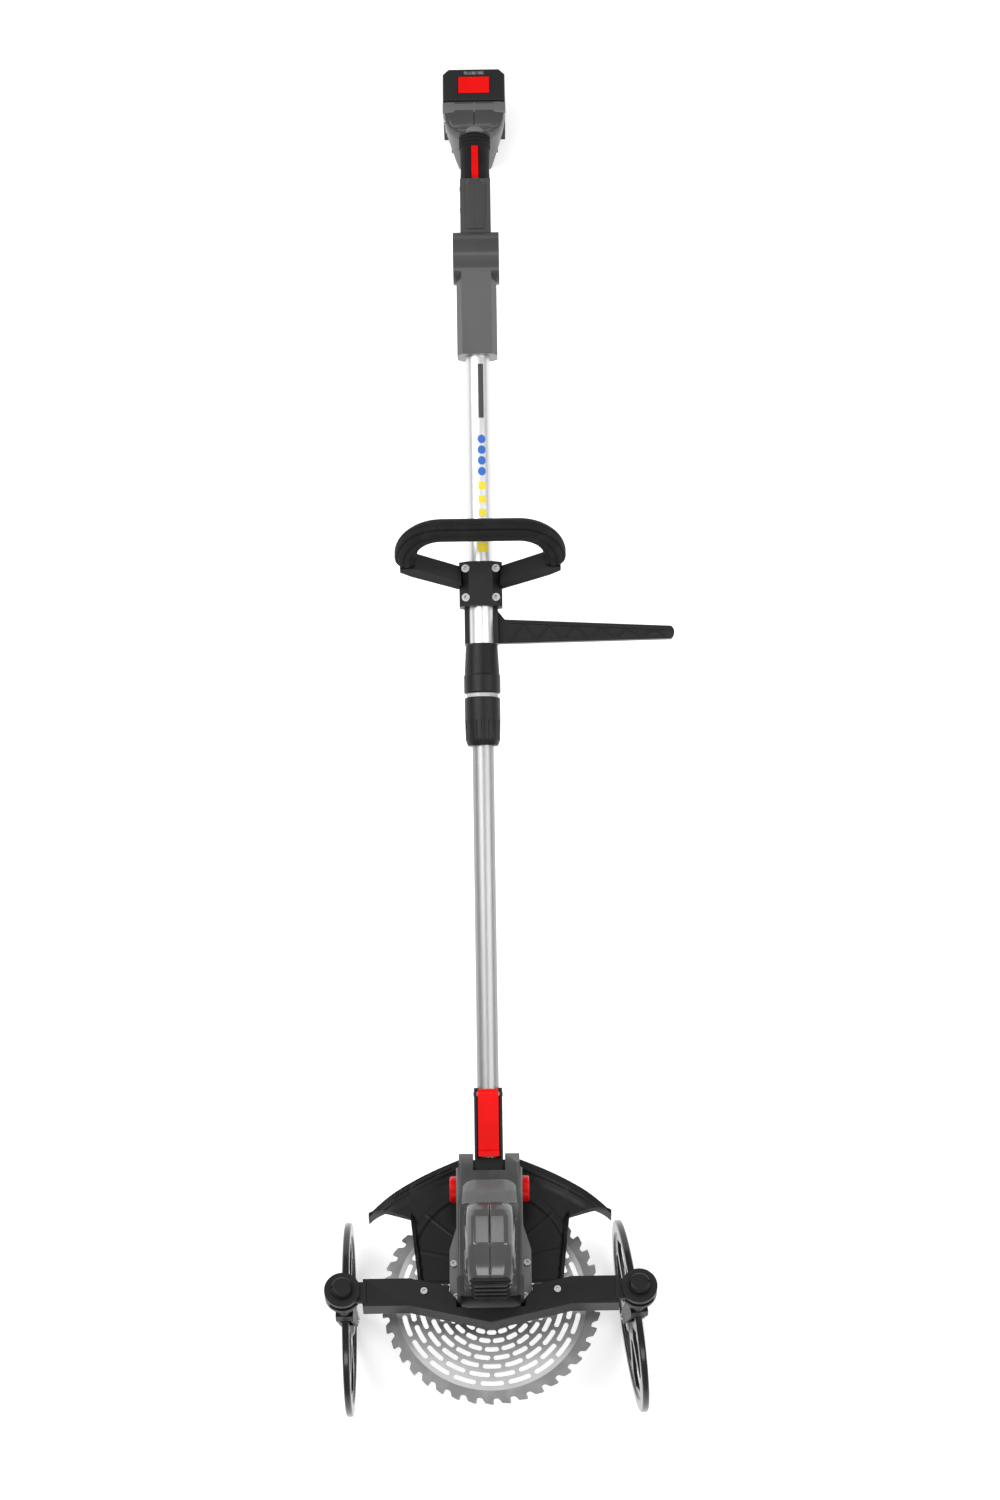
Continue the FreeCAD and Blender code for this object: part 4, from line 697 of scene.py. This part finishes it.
def loop_path():
    """Points and outward directions along the loop, from its right foot to its left."""
    leg = [LOOP_FOOT + LEG_PITCH * i for i in range(LEG_RINGS)]
    points = [(LOOP_HALF, level, 1.0, 0.0) for level in leg]
    for sign in (1, -1):
        for i in range(17):
            turn = math.pi / 2 * i / 16
            turn = turn if sign > 0 else math.pi / 2 - turn
            centre = sign * (LOOP_HALF - LOOP_CORNER)
            points.append((centre + sign * LOOP_CORNER * math.cos(turn),
                           LOOP_TOP - LOOP_CORNER + LOOP_CORNER * math.sin(turn),
                           sign * math.cos(turn), math.sin(turn)))
        if sign > 0:
            points += [((LOOP_HALF - LOOP_CORNER) * (1 - 2 * i / 10), LOOP_TOP, 0.0, 1.0)
                       for i in range(1, 10)]
    return points + [(-LOOP_HALF, level, -1.0, 0.0) for level in reversed(leg)]


def loop_grip():
    """Foam-rubber grip moulded on the loop, with grooves along it and rolled ends."""
    lean = math.radians(LOOP_LEAN)
    tilt = SHAFT @ Matrix.Translation((0, LOOP_MIDDLE, 0)) @ Matrix.Rotation(lean, 4, "X").inverted()
    build = bmesh.new()
    around = 108
    rings = []
    path = loop_path()
    for index, (x, z, out_x, out_z) in enumerate(path):
        from_end = min(index, len(path) - 1 - index)
        size = (0.80, 0.95, 1.0)[min(from_end, 2)]
        ring = []
        for step in range(around):
            turn = 2 * math.pi * step / around
            groove = 1.5 * max(0, math.cos(turn * GRIP_GROOVES)) ** 4
            radius = (GRIP_RADIUS - groove) * size
            side = radius * math.cos(turn)
            ring.append((x + out_x * side, radius * math.sin(turn), z + out_z * side))
        rings.append(ring)
    lofted(build, rings)
    finished(made("loop_grip", build, tilt, 50), "front_handle", "black_rubber", "d_handle_grip")


def barrier_ribs():
    """A zigzag rib and a border on the barrier bar's upper face."""
    build = bmesh.new()
    near, far, top = 34, 217, -10.2
    rear = [(near, 657.5), (far, 646.5)]
    front = [(near, 635.5), (far, 638.5)]
    corners = []
    legs = 12
    for index in range(legs + 1):
        share = index / legs
        lane = rear if index % 2 else front
        corners.append((near + (far - near) * share, lane[0][1] + (lane[1][1] - lane[0][1]) * share))
    for line in (corners, rear, front):
        for (x0, y0), (x1, y1) in zip(line, line[1:]):
            run = Vector((x1 - x0, y1 - y0, 0)).normalized()
            side = Vector((-run.y, run.x, 0))
            rings = []
            for end in ((x0, y0), (x1, y1)):
                base = Vector((*end, top))
                crest = Vector((*end, top + 2.0))
                rings.append([base - side * 1.1, crest - side * 0.5, crest + side * 0.5, base + side * 1.1])
            lofted(build, rings)
    finished(made("barrier_ribs", build, SHAFT), "front_handle", "charcoal_plastic")


# ---------------------------------------------------------------- rear handle

NECK_LEVEL = -2.5       # the grip's centre line, below the grip frame's
GRIP_FRONT = 97
SLOT_FRONT = 98.0
SLOT_REAR = 142.0
BELLOWS_FRONT = 144
BELLOWS_PITCH = 4.6
GRIP_REAR = 158
GRIP_PROFILE = [(GRIP_FRONT, 16.9), (99, 17.5), (118, 17.1), (140, 17.4), (GRIP_REAR, 17.6)]


def grip_rubber():
    """The rubber grip: a waisted sleeve, three bellows by the foot and a slot for the red bar."""
    build = bmesh.new()
    slot_half, slot_floor, bore = 4.6, 11.2, 13.6
    slot_angle = math.asin(slot_half / 17.5)
    around = 44
    angles = [slot_angle + (2 * math.pi - 2 * slot_angle) * i / around for i in range(around + 1)]
    angles += [-slot_angle + 2 * slot_angle * i / 6 for i in range(1, 6)]
    stations = [GRIP_FRONT, 97.8, SLOT_FRONT, 98.2]
    stations += [98.2 + 43.6 * i / 14 for i in range(1, 15)] + [SLOT_REAR]
    stations += [SLOT_REAR + (GRIP_REAR - SLOT_REAR) * i / 32 for i in range(1, 33)]
    rings = []
    for station in stations:
        radius = eased(GRIP_PROFILE, station)
        if station > BELLOWS_FRONT:
            radius += 1.3 * abs(math.sin(math.pi * (station - BELLOWS_FRONT) / BELLOWS_PITCH)) ** 0.6
        ring = []
        for index, turn in enumerate(angles):
            in_slot = index > around and SLOT_FRONT < station < SLOT_REAR
            reach = slot_floor if in_slot else radius
            ring.append((reach * math.sin(turn), station, NECK_LEVEL + reach * math.cos(turn)))
        rings.append(ring)
    rows = lofted(build, rings, caps=False)
    inner = [[build.verts.new((bore * math.sin(turn), station, NECK_LEVEL + bore * math.cos(turn)))
              for turn in angles] for station in (stations[0], stations[-1])]
    count = len(angles)
    for i in range(count):
        j = (i + 1) % count
        build.faces.new((rows[0][i], rows[0][j], inner[0][j], inner[0][i]))
        build.faces.new((rows[-1][i], rows[-1][j], inner[1][j], inner[1][i]))
    finished(made("grip_rubber", build, GRIP, 40), "root", "black_rubber", "grip_sleeve")


def yoke_tongue():
    """The raised tongue along the yoke, round at the grip's end."""
    front, length, half_width = 30, 68, 11.5
    round_start, round_length = 86, 12
    heights = [(30, 20.2), (60, 21.0), (84, 21.6), (94, 20.2), (98, 17.6)]
    crown, seam_groove = 1.7, 0.45
    build = bmesh.new()
    rows = []
    steps = 22
    half_columns = 8
    for r in range(steps + 1):
        station = front + length * r / steps
        width = half_width * math.sqrt(max(1 - max((station - round_start) / round_length, 0) ** 2, 0.002))
        height = eased(heights, station)
        row = []
        for c in range(-half_columns, half_columns + 1):
            share = c / half_columns
            row.append((share * width, station, height - crown * abs(share) ** 5
                        - (seam_groove if c == 0 else 0)))
        rows.append(row)
    sheet(build, rows, 4.2)
    finished(rounded(made("yoke_tongue", build, GRIP), 0.4), "root", "housing_grey")


FOOT_FRONT = 157.6
# The foot's stations along the grip: along, half width, top, bottom.
FOOT_STATIONS = [(FOOT_FRONT, 18, 12, -22), (159.5, 24.5, 16, -34), (163, 30, 19, -70),
                 (168, 33.5, 20.6, -101), (175, 36, 21.4, -99), (183, 37.2, 21.6, -96.3),
                 (195.9, 37.2, 21.6, -92.2)]
# The share of its width that the foot loses towards the bottom.
FOOT_TAPER = [(157, 0.44), (172, 0.40), (196, 0.22)]


def handle_half(side, sign):
    """Half the rear handle: the CAD shell of yoke and neck, and a foot that tapers downwards."""
    node = "handle_shell_" + side
    build = trimmed_shell(node, GRIP, (0, FOOT_FRONT, 0), (0, 1, 0))
    shell = rounded(made(node + "_yoke", build, GRIP), 2.0, 3)
    finished(shell, "root", "housing_grey", node)

    build = bmesh.new()
    rings = []
    for station, width, top, bottom in FOOT_STATIONS:
        taper = eased(FOOT_TAPER, station)
        ring = [(SEAM, top), (0.60 * width, top), (0.84 * width, top - 1.2), (0.95 * width, top - 4.5)]
        side_top, side_bottom = top - 12, bottom + 5
        for step in range(9):
            share = step / 8
            ring.append((width * (1 - taper * share ** 1.3), side_top + (side_bottom - side_top) * share))
        low = width * (1 - taper)
        ring += [(low - 1.5, bottom + 1.5), (low - 5, bottom), (SEAM, bottom)]
        rings.append([(sign * x, station, z) for x, z in ring])
    lofted(build, rings)
    foot = rounded(made("handle_foot_" + side, build, GRIP, 40), 1.2, 3, 24)
    finished(foot, "root", "housing_grey")


def button_ridges():
    """Finger ridges across the release button."""
    build = bmesh.new()
    first, pitch, root, crest = 209.5, 4.4, 21.4, 22.9
    for index in range(4):
        station = first + pitch * index
        rings = []
        for x, height in ((-14.5, 22.0), (-13.5, crest), (13.5, crest), (14.5, 22.0)):
            rings.append([(x, station - 1.0, root), (x, station - 0.5, height), (x, station + 0.5, height),
                          (x, station + 1.0, root)])
        lofted(build, rings)
    finished(made("button_ridges", build, GRIP), "battery_button", "red_plastic")


def foot_trim():
    """The collar that takes the grip and the paler band along the foot's top edge."""
    build = bmesh.new()
    profile = ((158.3, 19.4), (160, 21.6), (163.5, 22.4), (166.5, 21.0))
    lofted(build, [circle(radius, station, 48, NECK_LEVEL) for station, radius in profile])
    finished(rounded(made("foot_collar", build, GRIP, 45), 0.5), "root", "band_grey", slot="housing_grey")

    front, length, half_width, level = 181.5, 14, 37.4, 20.6
    build = bmesh.new()
    rows = []
    steps = 8
    half_columns = 16
    for r in range(steps + 1):
        station = front + length * r / steps
        crown = math.sin(math.pi * (0.08 + 0.84 * r / steps)) ** 0.5
        row = []
        for c in range(-half_columns, half_columns + 1):
            share = c / half_columns
            drop = 16 * max(abs(share) - 0.80, 0) ** 1.4
            row.append((share * half_width, station, level + 1.2 * crown - drop))
        rows.append(row)
    sheet(build, rows, 2.4)
    finished(rounded(made("foot_band", build, GRIP), 0.6), "root", "band_grey", slot="housing_grey")


# ---------------------------------------------------------------- tubes and the plain printed marks

UPPER_RADIUS = 14.0
# Both tubes along the shaft: front, rear, outer radius, bore radius.
TUBES = {"upper_tube": (548, 1108, UPPER_RADIUS, 12.8), "lower_tube": (36, 760, 12.5, 11.0)}
FILM_LIFT = 0.12        # clears the tube where the film's edges cut across its curve
FILM_TURN = math.radians(14)    # the marks sit this far round the tube from its top


def film(name, material, centre, outline):
    """A thin printed patch that wraps the tube; its outline is (across, along) points round a centre."""
    build = bmesh.new()
    radius = UPPER_RADIUS + FILM_LIFT

    def on_tube(across, along):
        turn = FILM_TURN + across / radius
        return build.verts.new((radius * math.sin(turn), centre + along, radius * math.cos(turn)))

    middle = on_tube(0, 0)
    layers = [[on_tube(across * share, along * share) for across, along in outline] for share in (0.5, 1.0)]
    count = len(outline)
    for i in range(count):
        j = (i + 1) % count
        build.faces.new((middle, layers[0][i], layers[0][j]))
        build.faces.new((layers[0][i], layers[1][i], layers[1][j], layers[0][j]))
    finished(made(name, build, SHAFT), "root", material, slot="bright_tube")


def drawn_pipe(node, start, end, outer, inner):
    """A smooth round tube with eased rims."""
    build = bmesh.new()
    rim = 0.4
    profile = [(inner, start), (outer - rim, start), (outer, start + rim), (outer, end - rim),
               (outer - rim, end), (inner, end)]
    lofted(build, [circle(radius, station, 96) for radius, station in profile + profile[:1]], caps=False)
    bmesh.ops.remove_doubles(build, verts=build.verts, dist=0.001)
    finished(made(node + "_pipe", build, SHAFT, 30), BODY_OF[node], NODE_SLOT[node], node)


def disc(radius):
    """A round outline."""
    turns = [2 * math.pi * i / 40 for i in range(40)]
    return [(radius * math.cos(turn), radius * math.sin(turn)) for turn in turns]


def bar(half_width, half_length):
    """A rectangular outline, with enough points on each side to follow the tube."""
    corners = [(half_width, -half_length), (half_width, half_length), (-half_width, half_length),
               (-half_width, -half_length)]
    points = []
    for (x0, y0), (x1, y1) in zip(corners, corners[1:] + corners[:1]):
        points += [(x0 + (x1 - x0) * i / 10, y0 + (y1 - y0) * i / 10) for i in range(10)]
    return points


AXIS_RADIUS = 0.1       # of the ring that closes a turned piece at its axis


def handle_screws():
    """Four cross screws that hold the halves of the rear handle."""
    build = bmesh.new()
    around, shank = 24, 1.6
    places = ((56, 13.5, 18), (84, 13.5, 18), (174, 13, 35), (180, -20, 34))    # along, up, half length
    for station, level, reach in places:
        face = -reach - 0.7
        profile = [(face, AXIS_RADIUS), (face, 1.2), (-reach - 0.1, 1.3), (-reach - 0.1, 1.5), (face, shank),
                   (-reach - 0.6, 2.8), (-reach + 0.6, 3.0), (-reach + 0.6, shank), (reach - 3, shank),
                   (reach - 3, AXIS_RADIUS)]
        rings = [[(x, station + radius * math.sin(2 * math.pi * i / around),
                   level + radius * math.cos(2 * math.pi * i / around)) for i in range(around)]
                 for x, radius in profile]
        lofted(build, rings)
    finished(made("cross_screws", build, GRIP, 30), "root", "screw_steel", "handle_screws")


def tube_marks():
    """A stripe, a row of dots, a row of tabs and a plate, from the grip forwards."""
    film("tube_stripe", "stripe_ink", 928, bar(3.2, 32))
    for index in range(4):
        film("blue_dot_%d" % (index + 1), "blue_ink", 871 - 12.7 * index, disc(5.0))
    for index in range(3):
        film("yellow_tab_%d" % (index + 1), "yellow_ink", 816 - 16 * index, bar(4.6, 4.4))
    film("yellow_plate", "yellow_ink", 743.5, bar(6.2, 5.6))


for side, sign in SIDES:
    housing_half(side, sign)
hood_band()
blade_guard()
guard_ridge()
saw_tips()
loop_grip()
barrier_ribs()
grip_rubber()
yoke_tongue()
foot_trim()
tube_marks()
for node, sizes in TUBES.items():
    drawn_pipe(node, *sizes)
for side, sign in SIDES:
    handle_half(side, sign)
button_ridges()
handle_screws()


# ---------------------------------------------------------------- stage, light, camera

FLOOR_SIZE = 60
WORLD_STRENGTH = 0.42
# name: place, target, width, height, power
LIGHTS = {
    "key": ((-1.5, 0.7, 2.4), (0, 0, 0.1), 0.9, 2.6, 52),
    "fill": ((1.7, 0.1, 2.2), (0, 0, 0.1), 0.7, 2.6, 34),
    "front": ((0.0, -2.4, 2.4), (0, -0.5, 0.2), 1.6, 0.7, 18),
    "cover": ((0.0, 0.95, 1.65), (0, -0.6, 0.3), 0.55, 0.42, 2.4),
}
CAMERA_PLACE = (0.0015, -0.0122, 4.27)
CAMERA_ROLL = math.radians(-0.85)
LENS = 84


def pale_floor():
    """A wide sheet of pale paper that glows a little, so that the far floor stays light."""
    bpy.ops.mesh.primitive_plane_add(size=FLOOR_SIZE, location=(0, 0, 0))
    floor = bpy.context.object
    floor.name = "floor"
    s = Shader("floor_paper")
    cloud = s.noise(2.0, 3)
    s.set(Base_Color=s.mix(s.ramp(cloud, (0.3, 0.0), (0.7, 1.0)), shade(0.90), shade(0.93)), Roughness=0.9,
          Emission_Color=(1, 1, 1, 1), Emission_Strength=0.34)
    floor.data.materials.append(s.material)


def soft_light(name, place, target, width, height, power):
    """A rectangular lamp that faces its target."""
    data = bpy.data.lights.new(name, "AREA")
    data.shape = "RECTANGLE"
    data.size = width
    data.size_y = height
    data.energy = power
    light = bpy.data.objects.new(name, data)
    light.location = place
    light.rotation_mode = "QUATERNION"
    light.rotation_quaternion = (Vector(target) - Vector(place)).to_track_quat("-Z", "Y")
    light.visible_camera = False
    bpy.context.collection.objects.link(light)


def studio():
    """A white surround and the soft lamps."""
    world = bpy.data.worlds.new("studio")
    world.use_nodes = True
    background = world.node_tree.nodes["Background"]
    background.inputs["Color"].default_value = (1, 1, 1, 1)
    background.inputs["Strength"].default_value = WORLD_STRENGTH
    bpy.context.scene.world = world
    for name, settings in LIGHTS.items():
        soft_light(name, *settings)
    bpy.context.scene.view_settings.view_transform = "Standard"


def overhead_camera():
    """Straight above the machine, its long side up the picture."""
    data = bpy.data.cameras.new("camera")
    data.sensor_width = 36
    data.lens = LENS
    data.clip_end = 40
    camera = bpy.data.objects.new("camera", data)
    camera.location = CAMERA_PLACE
    camera.rotation_euler = (0, 0, CAMERA_ROLL)
    bpy.context.collection.objects.link(camera)
    bpy.context.scene.camera = camera


pale_floor()
studio()
overhead_camera()
